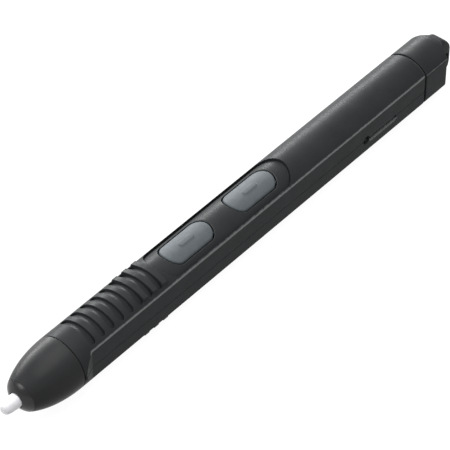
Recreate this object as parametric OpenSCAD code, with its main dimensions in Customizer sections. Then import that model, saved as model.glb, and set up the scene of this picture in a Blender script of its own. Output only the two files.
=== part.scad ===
// Battery-free digitizer pen for a rugged tablet, as a bench assembly of separate pieces.
// The pen lies along X with its buttons up: -X is the nib, +X is the tether eye.
// Inside the modules x = 0 is the joint behind the nose cone and the pen axis is y = z = 0.
// on_table() moves that frame so that the origin is the bottom centre of the whole pen.

/* [Body] */
// Diameter of the round body
body_d = 12; // [11.8:0.1:15]
// Distance across the two side flats
flats_w = 9.7; // [9.6:0.1:11]
// Length of the split body, from the nose joint to the end cap joint
barrel_len = 104.6; // [100:0.2:130]
// Wall thickness of the round sides
wall = 1.6; // [1.5:0.05:1.65]
// Wall thickness behind the side flats
flat_wall = 1.1; // [0.9:0.05:1.15]
// Height of the parting plane between the two body shells
split_z = -0.5; // [-1:0.1:0]
// Thickness of the stiffening walls inside the shells
rib_t = 1.0; // [0.6:0.1:1.4]

/* [Grip] */
// Where the first finger groove starts behind the nose joint
grip_start = 3.95; // [3.4:0.05:6]
// Distance from one groove to the next
groove_pitch = 2.66; // [2.3:0.02:3]
// Width of one groove
groove_w = 1.32; // [0.8:0.02:1.6]
// Depth of a groove at its deep, tail side
groove_depth = 0.55; // [0.3:0.05:0.7]
// Number of grooves
groove_count = 8; // [4:1:9]
// Number of raised ridges, behind the last grooves
ridge_count = 3; // [0:1:4]
// How far a groove and a ridge reach to each side of the centre line
grip_half_w = 4.15; // [3.4:0.05:4.4]

/* [Button panel] */
// Length of the sunk panel that holds the two buttons
panel_l = 38.6; // [37:0.2:46]
// Length of the rounded part at each end of the panel
panel_end = 3.7; // [3:0.1:4.4]
// How far the panel is sunk below the round body
panel_sink = 0.5; // [0.4:0.05:0.6]
// Thickness of the panel
panel_t = 0.6; // [0.5:0.05:0.65]
// Rim of body left between the panel and a side flat
rim_w = 0.43; // [0.4:0.02:0.7]
// Distance between the two button centres
button_pitch = 18.8; // [17:0.2:22]
// Length of a button cap
button_l = 12.4; // [10:0.1:14]
// Width of a button cap
button_w = 5.76; // [4.6:0.02:6.2]
// Length of the rounded part at each end of a button cap
button_end = 2.4; // [1.6:0.1:2.8]
// Gap between a button cap and the panel
button_gap = 0.3; // [0.15:0.05:0.35]
// How far a button goes down when it is pressed
button_travel = 0.3; // [0.2:0.05:0.4]

/* [Nose and nib] */
// Length of the nose cone, from its joint to its front edge
nose_len = 11.1; // [10.5:0.1:14]
// Radius of the nose cone's front edge
nose_front_r = 3.5; // [3.2:0.05:3.8]
// Radius of the nib's head
nib_r = 1.5; // [1.2:0.05:1.7]
// Radius of the nib's shank
shank_r = 0.9; // [0.7:0.05:1]
// How far the nib stands out of its guide
nib_out = 3.65; // [2.6:0.05:4]
// How far the nib moves in under writing pressure
nib_travel = 0.4; // [0.2:0.05:0.45]

/* [Tail] */
// Length of the end cap, from its front face to its shoulders
cap_len = 6.9; // [6.4:0.1:12]
// Thickness of the gasket between the body and the end cap
gasket_t = 0.5; // [0.3:0.05:0.8]
// Thickness of the tether eye between its two side scoops
eye_t = 4.0; // [3.2:0.1:4.6]
// How far the tail reaches past its shoulders
tail_len = 5.45; // [5:0.05:7]
// Radius of the tether hole
tether_r = 1.15; // [0.9:0.05:1.25]

/* [Electronics] */
// Thickness of the circuit board
board_t = 0.8; // [0.6:0.1:1]
// Height of the board's underside above the pen axis
board_z = 0.2; // [0:0.05:0.3]
// Height of a button switch above the board
switch_h = 1.2; // [0.9:0.05:1.3]
// Length of the ferrite core around the nib's shank
core_l = 16; // [12:0.5:16]
// Wall thickness of the ferrite core
core_wall = 0.95; // [0.7:0.05:1]
// Thickness of the coil winding on the core
winding_t = 0.7; // [0.4:0.05:0.8]

/* [Hidden] */
$fn = 96;

// Clearances
fit = 0.02;             // a piece seated in another piece
slip = 0.06;            // a piece that slides in a bore
panel_gap = 0.06;       // visible line around the button panel
seam_gap = 0.15;        // visible line behind the nose cone
seat_gap = 0.1;         // loose seat of a plug or a rail

// Body section
body_r = body_d / 2;
half_flat = flats_w / 2;
cavity_r = body_r - wall;
cavity_half = half_flat - flat_wall;
cavity_x0 = 3;
ramp_x0 = 0.5;          // the flats run out to the round nose along a short ramp
ramp_x1 = 3.2;
line_w = 0.16;          // notch along the parting plane

// Neck that carries the nose cone
neck_len = 5;
neck_r = body_r - 1.4;
neck_bore = neck_r - 0.9;
oring_x = -2.2;
oring_wire = 0.28;
oring_groove = 0.55;

// Nose cone: outline r(x) = body_r * (1 - (x / reach)^bulge)^sharpness from the joint forward
nose_bulge = 2.09;
nose_sharpness = 0.5965;
nose_steps = 24;
nose_reach = nose_len / pow(1 - pow(nose_front_r / body_r, 1 / nose_sharpness), 1 / nose_bulge);
nose_x0 = -nose_len;
nose_bore = neck_bore - 0.1;
web_x0 = nose_x0 + 1.5;
web_x1 = web_x0 + 0.7;

// Nib guide: a bush in the front of the nose cone
guide_lip_r = nose_front_r - 0.02;
guide_lip = 1.25;
guide_round = 1.6;      // between 1, a quarter circle, and 2, a plain cone
guide_mouth_r = nib_r + 0.16;
guide_bore = nib_r + 0.12;
guide_r = nib_r + 1.05;
guide_x0 = nose_x0 - guide_lip;

// Nib
nib_x0 = guide_x0 - nib_out;
nib_tip = [[0, 0], [0.05, 0.58], [0.25, 0.93], [0.6, 1.17], [1.4, 1.34]];  // [distance, radius]
nib_head_x1 = web_x0 - 0.2;

// Coil, pressure sensor and what carries them
cushion_t = 0.7;
core_x0 = web_x1 + cushion_t;
core_x1 = core_x0 + core_l;
core_bore = shank_r + 0.15;
core_r = core_bore + core_wall;
coil_r = core_r + winding_t;
coil_x0 = core_x0 + 1.7;
coil_len = core_l / 2;
holder_r = 2.34;
chamber_r = holder_r + slip;
housing_r = chamber_r + 0.8;
housing_x0 = core_x1 - 1.5;
housing_wall_x1 = core_x1 + 1;
holder_x0 = housing_wall_x1 + nib_travel + 0.2;
holder_head = 7.8;
socket_depth = 6;
shank_x1 = holder_x0 + socket_depth - 0.2;
holder_x1 = holder_x0 + holder_head;
spring_len = 3.2;
stem_r = 1;
sensor_x0 = holder_x1 + spring_len;
stem_x1 = sensor_x0 - nib_travel - 0.1;
sensor_len = 3.6;
housing_x1 = sensor_x0 + sensor_len;
spring_r = 1.6;
spring_wire = 0.18;
spring_turns = 4;
spring_steps = 14;
spring_sides = 6;

// Grip
grip_end = grip_start + groove_count * groove_pitch;
ridge_r = body_r * 1.5;
ridge_drop = 0.05;
floor_shift = 0.25;     // groove floors are rounder than the body, so their ends are deeper
floor_skin = 0.05;

// Button panel
panel_lead = 0.17;      // body left between the last ridge and the panel
panel_x = grip_end + panel_lead + panel_l / 2;
panel_half = half_flat - rim_w;
panel_r = body_r - panel_sink;
ledge_r = panel_r - panel_t;
button_x = [panel_x - button_pitch / 2, panel_x + button_pitch / 2];
window_half = half_flat - 1.25;
window_inset = 1.7;     // ledge under each end of the panel
window_l = panel_l - 2 * window_inset;
window_z0 = 1;
cap_curve_r = 5;
cap_rise = 0.05;
cap_curve_z = panel_r + cap_rise - cap_curve_r;
bar_l = 3.9;
bar_w = 1.26;
bar_h = 0.15;
button_under = ledge_r - 1.3;   // underside of a cap, below the panel's underside
tab_l = 14.2;
tab_w = 4;
post_r = 0.8;
membrane_t = 0.3;
membrane_z = button_under - button_travel - 0.1 - membrane_t;

// Circuit board and inner frame
frame_x0 = housing_x1 + 0.2;
frame_x1 = barrel_len - 7.2;
frame_half = cavity_half - 0.25;
rail_t = 0.45;
frame_z0 = -1.5;
floor_t = 0.8;
rail_z1 = 1.6;
front_wall_t = 1;
board_x0 = frame_x0 + 3.2;
board_x1 = frame_x1 - 3.4;
board_half = frame_half - rail_t - 0.15;
board_top = board_z + board_t;
plunger_r = 0.6;
plunger_out = 0.4;
plunger_in = 0.2;
plunger_top = board_top + switch_h + plunger_out;
switch_l = 3.6;
switch_w = 3.2;
screw_x = [board_x0 + 40.6, board_x1 - 3];
screw_r = 0.7;
screw_head_r = 1.2;
screw_head_h = 0.55;
lead_r = 0.15;
lead_y = 0.8;
lead_z = neck_bore - 0.3;
chip_l = 4;
chip_h = 0.9;
chip_x = screw_x[0] + 8;
crossbar_x = [for (i = [0:4]) board_x0 + 2 + i * (board_x1 - board_x0 - 12) / 4];
lower_rib_x = [for (i = [0:4]) frame_x0 + 6 + i * (frame_x1 - frame_x0 - 12) / 4];
housing_rib_x = [housing_x0 + 4, housing_x1 - 4];

// Tail
cap_x0 = barrel_len + gasket_t;
cap_x1 = cap_x0 + cap_len;
tail_x0 = cap_x1 - 0.5;  // where the top and bottom start to round over
tail_fullness = 1.033;   // height of that rounding against the body's radius
eye_half = eye_t / 2;
tether_x = cap_x1 + tail_len - 2.25;
plug_len = 6.5;
plug_x0 = cap_x0 - plug_len;
plug_r = cavity_r - seat_gap;
plug_half = cavity_half - seat_gap;
bead_x = cap_x0 - 4;
bead_w = 0.6;
bead_h = 0.2;
gasket_inset = 0.4;
rib_room = [panel_x + panel_l / 2 + 4, plug_x0 - rib_t - 1.5];
upper_rib_x = [for (i = [0:2]) rib_room[0] + i * (rib_room[1] - rib_room[0]) / 2];

// Latch notch in one side flat, for the spring catch of a pen slot
notch_x = barrel_len - 13.85;
notch_z = -0.72;
notch_l = 8.7;
notch_w = 1.5;
notch_depth = 0.4;
dimple_x = barrel_len - 19.3;
dimple_z = -0.6;
dimple_r = 0.95;
dimple_depth = 0.55;
dimple_pip_r = 0.42;
dimple_pip_h = 0.3;

// The whole pen, for the origin
pen_x0 = nib_x0;
pen_x1 = cap_x1 + tail_len;

// ---------- shared shapes ----------

// Moves a piece from the pen axis frame to the table frame
module on_table() {
    translate([-(pen_x0 + pen_x1) / 2, 0, body_r]) children();
}

// Cylinder along the pen from x0 to x1
module rod(r, x0, x1) {
    translate([x0, 0, 0]) rotate([0, 90, 0]) cylinder(r = r, h = x1 - x0);
}

// Round bar with two side flats
module flat_rod(r, half, x0, x1) {
    intersection() {
        rod(r, x0, x1);
        translate([x0 - 1, -half, -r - 1]) cube([x1 - x0 + 2, 2 * half, 2 * r + 2]);
    }
}

// Box from one corner to the opposite one
module block(low, high) {
    translate(low) cube(high - low);
}

// Outline with straight sides and half-ellipse ends
function oval(l, w, end, n = 14) = concat(
    [for (i = [0:n]) [l / 2 - end + end * cos(90 - 180 * i / n), w / 2 * sin(90 - 180 * i / n)]],
    [for (i = [0:n]) [end - l / 2 - end * cos(90 - 180 * i / n), -w / 2 * sin(90 - 180 * i / n)]]
);

// Upright oval column
module oval_block(x, l, w, end, z0, z1) {
    translate([x, 0, z0]) linear_extrude(z1 - z0) polygon(oval(l, w, end));
}

// Body that turns around the pen axis, from an outline of [x, radius] points
module turned(outline) {
    rotate([0, 90, 0]) rotate_extrude() polygon([for (p = outline) [p[1], p[0]]]);
}

// Radius of the nose at distance d in front of the joint
function nose_r(d) = body_r * pow(1 - pow(d / nose_reach, nose_bulge), nose_sharpness);

// ---------- body shells ----------

module side_flat_cut() {
    slope = (ramp_x1 - ramp_x0) / (body_r - half_flat);
    for (side = [0, 1]) mirror([0, side, 0])
        translate([0, 0, -body_r - 1]) linear_extrude(2 * body_r + 2)
            polygon([
                [ramp_x0 - slope, -body_r - 1],
                [ramp_x1, -half_flat],
                [barrel_len + 1, -half_flat],
                [barrel_len + 1, -body_r - 1]
            ]);
}

// One groove on the upper side, with a floor that ramps down towards the tail
module groove_cut(x) {
    difference() {
        translate([x + groove_w / 2, 0, 1]) rotate([0, 0, 90])
            linear_extrude(body_r) polygon(oval(2 * grip_half_w, groove_w, groove_w / 2, 8));
        translate([x - fit, 0, floor_shift]) rotate([0, 90, 0]) cylinder(
            r1 = body_r - floor_shift - floor_skin,
            r2 = body_r - floor_shift - groove_depth,
            h = groove_w + 2 * fit
        );
    }
}

// One raised ridge on the upper side
module ridge(x) {
    intersection() {
        translate([0, 0, body_r - ridge_r - ridge_drop]) rod(ridge_r, x, x + groove_pitch - groove_w);
        block([x - 1, -grip_half_w, body_r / 2], [x + groove_pitch, grip_half_w, body_r + 1]);
    }
}

// Hollow body with grip, before it is split into two shells; the grip is cut on both sides
module whole_body() {
    difference() {
        union() {
            difference() {
                rod(body_r, 0, barrel_len);
                side_flat_cut();
            }
            rod(neck_r, -neck_len, 0.5);
            for (up = [0, 1]) mirror([0, 0, up]) for (i = [groove_count - ridge_count:groove_count - 1])
                ridge(grip_start + groove_w + i * groove_pitch);
        }
        for (up = [0, 1]) mirror([0, 0, up]) for (i = [0:groove_count - 1])
            groove_cut(grip_start + i * groove_pitch);
        rod(neck_bore, -neck_len - 1, cavity_x0 + 0.5);
        flat_rod(cavity_r, cavity_half, cavity_x0, barrel_len + 1);
        difference() {
            rod(neck_r + 1, oring_x - oring_wire - seat_gap, oring_x + oring_wire + seat_gap);
            rod(neck_r - oring_groove, oring_x - 1, oring_x + 1);
        }
        rod(plug_r + bead_h + seat_gap, bead_x - bead_w / 2 - seat_gap, bead_x + bead_w / 2 + seat_gap);
        latch_cut();
        parting_line_cut();
    }
}

// Slot whose floor ramps in from its upper edge to its lower wall, and a dimple with a pip
module latch_cut() {
    ramp = (notch_w + 0.1) / notch_depth;
    translate([0, -half_flat, 0]) intersection() {
        translate([notch_x, 0, notch_z]) rotate([90, 0, 0]) translate([0, 0, -1])
            linear_extrude(2) polygon(oval(notch_l, notch_w, notch_w / 2, 8));
        translate([notch_x - notch_l, 0, notch_z - notch_w / 2 - 0.01]) rotate([90, 0, 90])
            linear_extrude(2 * notch_l) polygon([[-0.8, 0], [notch_depth, 0], [-0.8, ramp * (0.8 + notch_depth)]]);
    }
    translate([dimple_x, -half_flat + dimple_depth, dimple_z]) rotate([90, 0, 0]) difference() {
        cylinder(r = dimple_r, h = dimple_depth + 1);
        translate([0, 0, -1]) cylinder(r = dimple_pip_r, h = 1 + dimple_pip_h);
    }
}

module parting_line_cut() {
    for (side = [-1, 1]) translate([ramp_x1, side * half_flat, split_z]) rotate([45, 0, 0])
        translate([0, -line_w / 2, -line_w / 2]) cube([barrel_len, line_w, line_w]);
}

// Two walls inside the shells that hold the sensor housing
module housing_walls() {
    difference() {
        for (x = housing_rib_x) flat_rod(cavity_r + fit, cavity_half + fit, x, x + rib_t);
        rod(housing_r + fit, 0, housing_x1);
        block([0, -lead_y - 0.5, 0], [housing_x1, lead_y + 0.5, lead_z + 0.6]);
    }
}

module upper_half() {
    block([-neck_len - 1, -body_r - 1, split_z], [barrel_len + 2, body_r + 1, body_r + 1]);
}

module lower_half() {
    block([-neck_len - 1, -body_r - 1, -body_r - 1], [barrel_len + 2, body_r + 1, split_z]);
}

module upper_shell() {
    color("#4b4e52") on_table() {
        difference() {
            union() {
                intersection() {
                    whole_body();
                    upper_half();
                }
                intersection() {
                    housing_walls();
                    upper_half();
                }
                for (x = upper_rib_x) intersection() {
                    flat_rod(cavity_r + fit, cavity_half + fit, x, x + rib_t);
                    union() for (side = [0, 1]) mirror([0, side, 0])
                        block([x - 1, frame_half - rail_t, rail_z1], [x + rib_t + 1, body_r, body_r]);
                }
            }
            difference() {
                oval_block(panel_x, panel_l, 2 * panel_half, panel_end, window_z0, body_r + 1);
                rod(ledge_r - fit, panel_x - panel_l, panel_x + panel_l);
            }
            block([panel_x - window_l / 2, -window_half, window_z0],
                  [panel_x + window_l / 2, window_half, body_r + 1]);
        }
    }
}

module lower_shell() {
    color("#45484c") on_table() {
        intersection() {
            whole_body();
            lower_half();
        }
        intersection() {
            housing_walls();
            lower_half();
        }
        for (x = lower_rib_x) intersection() {
            flat_rod(cavity_r + fit, cavity_half + fit, x, x + rib_t);
            block([x - 1, -body_r, -body_r], [x + rib_t + 1, body_r, frame_z0]);
        }
    }
}

// ---------- nose ----------

module nose_cone() {
    color("#4a4b4e") on_table() turned(concat(
        [for (i = [0:nose_steps])
            let (d = seam_gap + (nose_len - seam_gap) * i / nose_steps) [-d, nose_r(d)]],
        [
            [nose_x0, guide_r + fit],
            [web_x0, guide_r + fit],
            [web_x0, nib_r + 0.2],
            [web_x1, nib_r + 0.2],
            [web_x1, nose_bore - 1],
            [web_x1 + 1.2, nose_bore],
            [-neck_len - seat_gap, nose_bore],
            [-neck_len - seat_gap, neck_r + 0.05],
            [-seam_gap, neck_r + 0.05]
        ]
    ));
}

module nib_guide() {
    steps = 10;
    color("#5a5c60") on_table() turned(concat(
        [for (i = [0:steps])
            let (a = 90 * i / steps)
            [nose_x0 - guide_lip * pow(sin(a), guide_round),
             guide_mouth_r + (guide_lip_r - guide_mouth_r) * pow(cos(a), guide_round)]],
        [
            [guide_x0 + 0.1, guide_bore],
            [web_x0 - fit, guide_bore],
            [web_x0 - fit, guide_r],
            [nose_x0, guide_r]
        ]
    ));
}

module nose_oring() {
    color("#1b1b1c") on_table() translate([oring_x, 0, 0]) rotate([0, 90, 0])
        rotate_extrude() translate([neck_r - oring_groove + oring_wire + fit, 0]) circle(r = oring_wire, $fn = 32);
}

module nib() {
    color("#e9e8ee") on_table() turned(concat(
        [for (p = nib_tip) [nib_x0 + p[0], p[1] * nib_r / 1.5]],
        [
            [guide_x0 - 0.8, nib_r - 0.02],
            [guide_x0, nib_r],
            [nib_head_x1, nib_r],
            [nib_head_x1, shank_r],
            [shank_x1 - 0.4, shank_r],
            [shank_x1, shank_r - 0.25],
            [shank_x1, 0]
        ]
    ));
}

// ---------- button panel and buttons ----------

module button_panel() {
    color("#54575b") on_table() difference() {
        intersection() {
            rod(panel_r, panel_x - panel_l / 2, panel_x + panel_l / 2);
            oval_block(panel_x, panel_l - 2 * panel_gap, 2 * (panel_half - panel_gap), panel_end,
                       window_z0 + 0.2, body_r);
        }
        rod(ledge_r, panel_x - panel_l, panel_x + panel_l);
        for (x = button_x)
            oval_block(x, button_l + 2 * button_gap, button_w + 2 * button_gap,
                       button_end + button_gap / 2, 0, body_r + 1);
    }
}

// Cap with a raised bar, two end tabs that keep it under the panel, and a post over the switch
module button(x) {
    on_table() translate([x, 0, 0]) {
        intersection() {
            translate([0, 0, cap_curve_z]) rod(cap_curve_r, -button_l, button_l);
            oval_block(0, button_l, button_w, button_end, button_under, body_r + 1);
        }
        intersection() {
            translate([0, 0, cap_curve_z]) rod(cap_curve_r + bar_h, -button_l, button_l);
            oval_block(0, bar_l, bar_w, bar_w / 2, body_r - wall, body_r + 1);
        }
        intersection() {
            rod(ledge_r - 0.05, -tab_l, tab_l);
            block([-tab_l / 2, -tab_w / 2, button_under], [tab_l / 2, tab_w / 2, body_r]);
        }
        translate([0, 0, plunger_top]) cylinder(r = post_r, h = button_under - plunger_top + 0.2);
    }
}

module front_button() {
    color("#8f999c") button(button_x[0]);
}

module rear_button() {
    color("#8f999c") button(button_x[1]);
}

module button_membrane() {
    color("#2a2b2d") on_table() difference() {
        block([panel_x - window_l / 2 + seat_gap, -window_half + seat_gap, membrane_z],
              [panel_x + window_l / 2 - seat_gap, window_half - seat_gap, membrane_z + membrane_t]);
        for (x = button_x) translate([x, 0, 0]) cylinder(r = post_r + 0.12, h = body_r);
    }
}

// ---------- electronics ----------

module switch_body(x) {
    on_table() difference() {
        block([x - switch_l / 2, -switch_w / 2, board_top], [x + switch_l / 2, switch_w / 2, board_top + switch_h]);
        translate([x, 0, board_top + switch_h - plunger_in - button_travel - 0.1])
            cylinder(r = plunger_r + slip, h = switch_h);
    }
}

module plunger(x) {
    on_table() translate([x, 0, board_top + switch_h - plunger_in])
        cylinder(r = plunger_r, h = plunger_in + plunger_out);
}

module front_switch() {
    color("#2f3032") switch_body(button_x[0]);
}

module rear_switch() {
    color("#2f3032") switch_body(button_x[1]);
}

module front_plunger() {
    color("#d9d4c4") plunger(button_x[0]);
}

module rear_plunger() {
    color("#d9d4c4") plunger(button_x[1]);
}

module circuit_board() {
    color("#1f5c3a") on_table() difference() {
        block([board_x0, -board_half, board_z], [board_x1, board_half, board_top]);
        for (x = screw_x) translate([x, 0, board_z - 1]) cylinder(r = screw_r + seat_gap, h = board_t + 2);
    }
}

module control_chip() {
    color("#1c1d1f") on_table()
        block([chip_x - chip_l / 2, -chip_l / 2, board_top], [chip_x + chip_l / 2, chip_l / 2, board_top + chip_h]);
}

module chip_capacitors() {
    cap_size = [1, 0.5, 0.5];
    color("#b59a6a") on_table() for (i = [0:3]) for (side = [-1, 1])
        translate([chip_x + chip_l / 2 + 1.4 + 1.9 * i, side * board_half / 2 - cap_size[1] / 2, board_top])
            cube(cap_size);
}

module board_screws() {
    color("#b9bcc0") on_table() for (x = screw_x) translate([x, 0, 0]) difference() {
        union() {
            translate([0, 0, frame_z0 + 0.2]) cylinder(r = screw_r, h = board_top - frame_z0);
            translate([0, 0, board_top]) cylinder(r = screw_head_r, h = screw_head_h);
        }
        for (turn = [0, 90]) rotate([0, 0, turn])
            block([-0.75, -0.14, board_top + screw_head_h - 0.35], [0.75, 0.14, board_top + screw_head_h + 1]);
    }
}

module inner_frame() {
    color("#3a3c3f") on_table() difference() {
        union() {
            block([frame_x0, -frame_half, frame_z0], [frame_x1, frame_half, frame_z0 + floor_t]);
            for (side = [0, 1]) mirror([0, side, 0]) {
                block([frame_x0, frame_half - rail_t, frame_z0], [frame_x1, frame_half, rail_z1]);
                block([panel_x - window_l / 2 + 0.6, frame_half - rail_t, frame_z0],
                      [panel_x + window_l / 2 - 0.6, frame_half, membrane_z]);
            }
            block([frame_x0, -frame_half, frame_z0], [frame_x0 + front_wall_t, frame_half, rail_z1]);
            for (x = crossbar_x)
                block([x, -frame_half, frame_z0], [x + rib_t, frame_half, board_z]);
            for (x = screw_x) translate([x, 0, frame_z0]) cylinder(r = screw_r + 0.9, h = board_z - frame_z0);
        }
        for (x = screw_x) translate([x, 0, frame_z0 - 1]) cylinder(r = screw_r + fit, h = board_z - frame_z0 + 2);
    }
}

// ---------- coil, pressure sensor and nib holder ----------

module ferrite_core() {
    color("#3b3a3c") on_table() difference() {
        rod(core_r, core_x0, core_x1);
        rod(core_bore, core_x0 - 1, core_x1 + 1);
    }
}

module coil_winding() {
    color("#a8672f") on_table() difference() {
        rod(coil_r, coil_x0, coil_x0 + coil_len);
        rod(core_r + 0.005, coil_x0 - 1, coil_x0 + coil_len + 1);
    }
}

// Straight round wire between two points
module wire(a, b) {
    d = b - a;
    translate(a) rotate([0, acos(d[2] / norm(d)), atan2(d[1], d[0])]) cylinder(r = lead_r, h = norm(d), $fn = 24);
}

module coil_leads() {
    path = [
        [coil_x0 + coil_len + 0.3, coil_r - 0.4],
        [coil_x0 + coil_len + 1.6, lead_z],
        [frame_x0 + 1.2, lead_z],
        [board_x0 + 1, board_top + lead_r + 0.02],
        [board_x0 + 2, board_top + lead_r + 0.02]
    ];
    color("#b5763a") on_table() for (side = [-1, 1]) {
        for (i = [0:len(path) - 2])
            wire([path[i][0], side * lead_y, path[i][1]], [path[i + 1][0], side * lead_y, path[i + 1][1]]);
        for (i = [1:len(path) - 2])
            translate([path[i][0], side * lead_y, path[i][1]]) sphere(r = lead_r + 0.03, $fn = 24);
    }
}

module core_cushion() {
    color("#8b3b36") on_table() difference() {
        rod(core_r, web_x1, core_x0);
        rod(core_bore + 0.2, web_x1 - 1, core_x0 + 1);
    }
}

module sensor_housing() {
    color("#c9c7bd") on_table() difference() {
        rod(housing_r, housing_x0, housing_x1);
        rod(core_r + fit, housing_x0 - 1, core_x1);
        rod(core_bore + 0.05, core_x1 - 1, housing_wall_x1 + 1);
        rod(chamber_r, housing_wall_x1, housing_x1 + 1);
    }
}

module nib_holder() {
    color("#d8d6cc") on_table() difference() {
        union() {
            rod(holder_r, holder_x0, holder_x1);
            rod(stem_r, holder_x1 - 1, stem_x1);
        }
        rod(shank_r + fit, holder_x0 - 1, holder_x0 + socket_depth);
    }
}

// Points of one ring of the spring wire, at step s
function spring_ring(s) =
    let (turn = 360 * s / spring_steps,
         x = holder_x1 + spring_wire + (spring_len - 2 * spring_wire) * s / (spring_steps * spring_turns))
    [for (k = [0:spring_sides - 1])
        let (a = 360 * k / spring_sides, rr = spring_r + spring_wire * cos(a))
        [x + spring_wire * sin(a), rr * cos(turn), rr * sin(turn)]];

module return_spring() {
    n = spring_steps * spring_turns;
    m = spring_sides;
    points = [for (s = [0:n]) each spring_ring(s)];
    skin = [for (s = [0:n - 1]) for (k = [0:m - 1])
        [s * m + k, s * m + (k + 1) % m, (s + 1) * m + (k + 1) % m, (s + 1) * m + k]];
    ends = [[for (k = [m - 1:-1:0]) k], [for (k = [0:m - 1]) n * m + k]];
    color("#c0c3c6") on_table() polyhedron(points, concat(skin, ends));
}

module pressure_sensor() {
    color("#24262a") on_table() {
        rod(holder_r, sensor_x0, housing_x1);
        for (side = [-1, 1]) translate([0, side, 0]) rod(0.25, housing_x1 - 0.5, housing_x1 + 0.15);
    }
}

// ---------- tail ----------

module cap_gasket() {
    color("#151516") on_table() difference() {
        flat_rod(body_r - gasket_inset, half_flat - gasket_inset, barrel_len, cap_x0);
        flat_rod(cavity_r, cavity_half, barrel_len - 1, cap_x0 + 1);
    }
}

// Half outline of the cap from above: flat, scoop for the cord, eye and rounded tip
function cap_plan() = [
    [cap_x0, half_flat], [cap_x1, half_flat], [cap_x1 + 0.3, half_flat - 0.55],
    [cap_x1 + 0.7, half_flat - 1.5], [cap_x1 + 1.1, eye_half + 0.55], [cap_x1 + 1.45, eye_half + 0.1],
    [cap_x1 + 1.65, eye_half], [pen_x1 - 0.6, eye_half], [pen_x1 - 0.2, eye_half - 0.4],
    [pen_x1 + 0.1, eye_half - 1.1]
];

// Half outline of the cap from the side
function cap_side(n = 16) = concat(
    [[cap_x0, body_r + 1], [tail_x0, body_r + 1]],
    [for (i = [0:n - 1]) let (a = 90 * i / n)
        [tail_x0 + (pen_x1 - tail_x0) * sin(a), body_r * tail_fullness * cos(a)]],
    [[pen_x1, 0]]
);

// Both halves of an outline that is symmetric about the pen's long axis
module both_sides(half) {
    polygon(concat(half, [for (i = [len(half) - 1:-1:0]) if (half[i][1] > 0) [half[i][0], -half[i][1]]]));
}

module end_cap() {
    color("#4b4e52") on_table() difference() {
        union() {
            intersection() {
                rod(body_r, cap_x0, pen_x1 + 1);
                translate([0, 0, -body_r - 1]) linear_extrude(2 * body_r + 2) both_sides(cap_plan());
                translate([0, body_r, 0]) rotate([90, 0, 0]) linear_extrude(2 * body_r) both_sides(cap_side());
            }
            flat_rod(plug_r, plug_half, plug_x0, cap_x0 + 1);
            intersection() {
                rod(plug_r + bead_h, bead_x - bead_w / 2, bead_x + bead_w / 2);
                block([bead_x - 1, -plug_half, -body_r], [bead_x + 1, plug_half, body_r]);
            }
        }
        translate([tether_x, body_r, 0]) rotate([90, 0, 0]) cylinder(r = tether_r, h = 2 * body_r);
        rod(cavity_r - 2, plug_x0 - 1, cap_x0 + 1);
    }
}

upper_shell();
lower_shell();
nose_cone();
nib_guide();
nose_oring();
nib();
button_panel();
front_button();
rear_button();
button_membrane();
front_plunger();
rear_plunger();
front_switch();
rear_switch();
circuit_board();
control_chip();
chip_capacitors();
board_screws();
inner_frame();
ferrite_core();
coil_winding();
coil_leads();
core_cushion();
sensor_housing();
nib_holder();
return_spring();
pressure_sensor();
cap_gasket();
end_cap();
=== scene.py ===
import math

import bmesh
import bpy
import numpy as np
from bpy.props import FloatProperty, FloatVectorProperty, IntProperty, PointerProperty
from mathutils import Matrix, Vector, geometry


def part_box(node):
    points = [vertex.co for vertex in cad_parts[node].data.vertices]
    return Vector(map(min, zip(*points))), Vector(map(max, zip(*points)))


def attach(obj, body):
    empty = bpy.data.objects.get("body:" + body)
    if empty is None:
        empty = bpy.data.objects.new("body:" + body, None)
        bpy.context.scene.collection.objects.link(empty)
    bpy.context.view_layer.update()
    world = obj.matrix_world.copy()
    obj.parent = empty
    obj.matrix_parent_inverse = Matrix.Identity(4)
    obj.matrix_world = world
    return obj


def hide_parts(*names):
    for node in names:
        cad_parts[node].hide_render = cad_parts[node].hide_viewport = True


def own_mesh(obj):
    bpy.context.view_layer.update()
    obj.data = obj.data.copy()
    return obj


bl_info = {
    "name": "Digitizer pen",
    "version": (1, 0, 0),
    "blender": (4, 5, 0),
    "location": "3D View > Sidebar > Pen",
    "description": "Outer pieces, inner pieces, finishes and studio of a battery-free digitizer pen",
    "category": "Object",
}

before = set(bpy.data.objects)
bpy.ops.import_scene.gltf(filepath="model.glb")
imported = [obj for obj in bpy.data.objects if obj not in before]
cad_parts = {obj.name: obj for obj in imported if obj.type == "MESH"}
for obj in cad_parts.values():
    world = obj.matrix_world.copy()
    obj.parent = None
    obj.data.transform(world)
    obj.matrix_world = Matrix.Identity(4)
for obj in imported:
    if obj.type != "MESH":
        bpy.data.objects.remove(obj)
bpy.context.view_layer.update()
MM = 0.001


# ---------- where things are, in millimetres on the pen's own axis ----------
# x = 0 is the joint behind the nose cone, y = z = 0 is the pen axis, +z is the button side.

def span(node):
    """Lowest and highest corner of a CAD node in millimetres, still in the table frame."""
    low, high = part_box(node)
    return np.array(low) / MM, np.array(high) / MM


SEAM = 0.15
JOINT = np.array([span("nose_cone")[1][0] + SEAM, 0.0, (span("end_cap")[0][2] + span("end_cap")[1][2]) / 2])


def on_axis(node):
    low, high = span(node)
    return low - JOINT, high - JOINT


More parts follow.
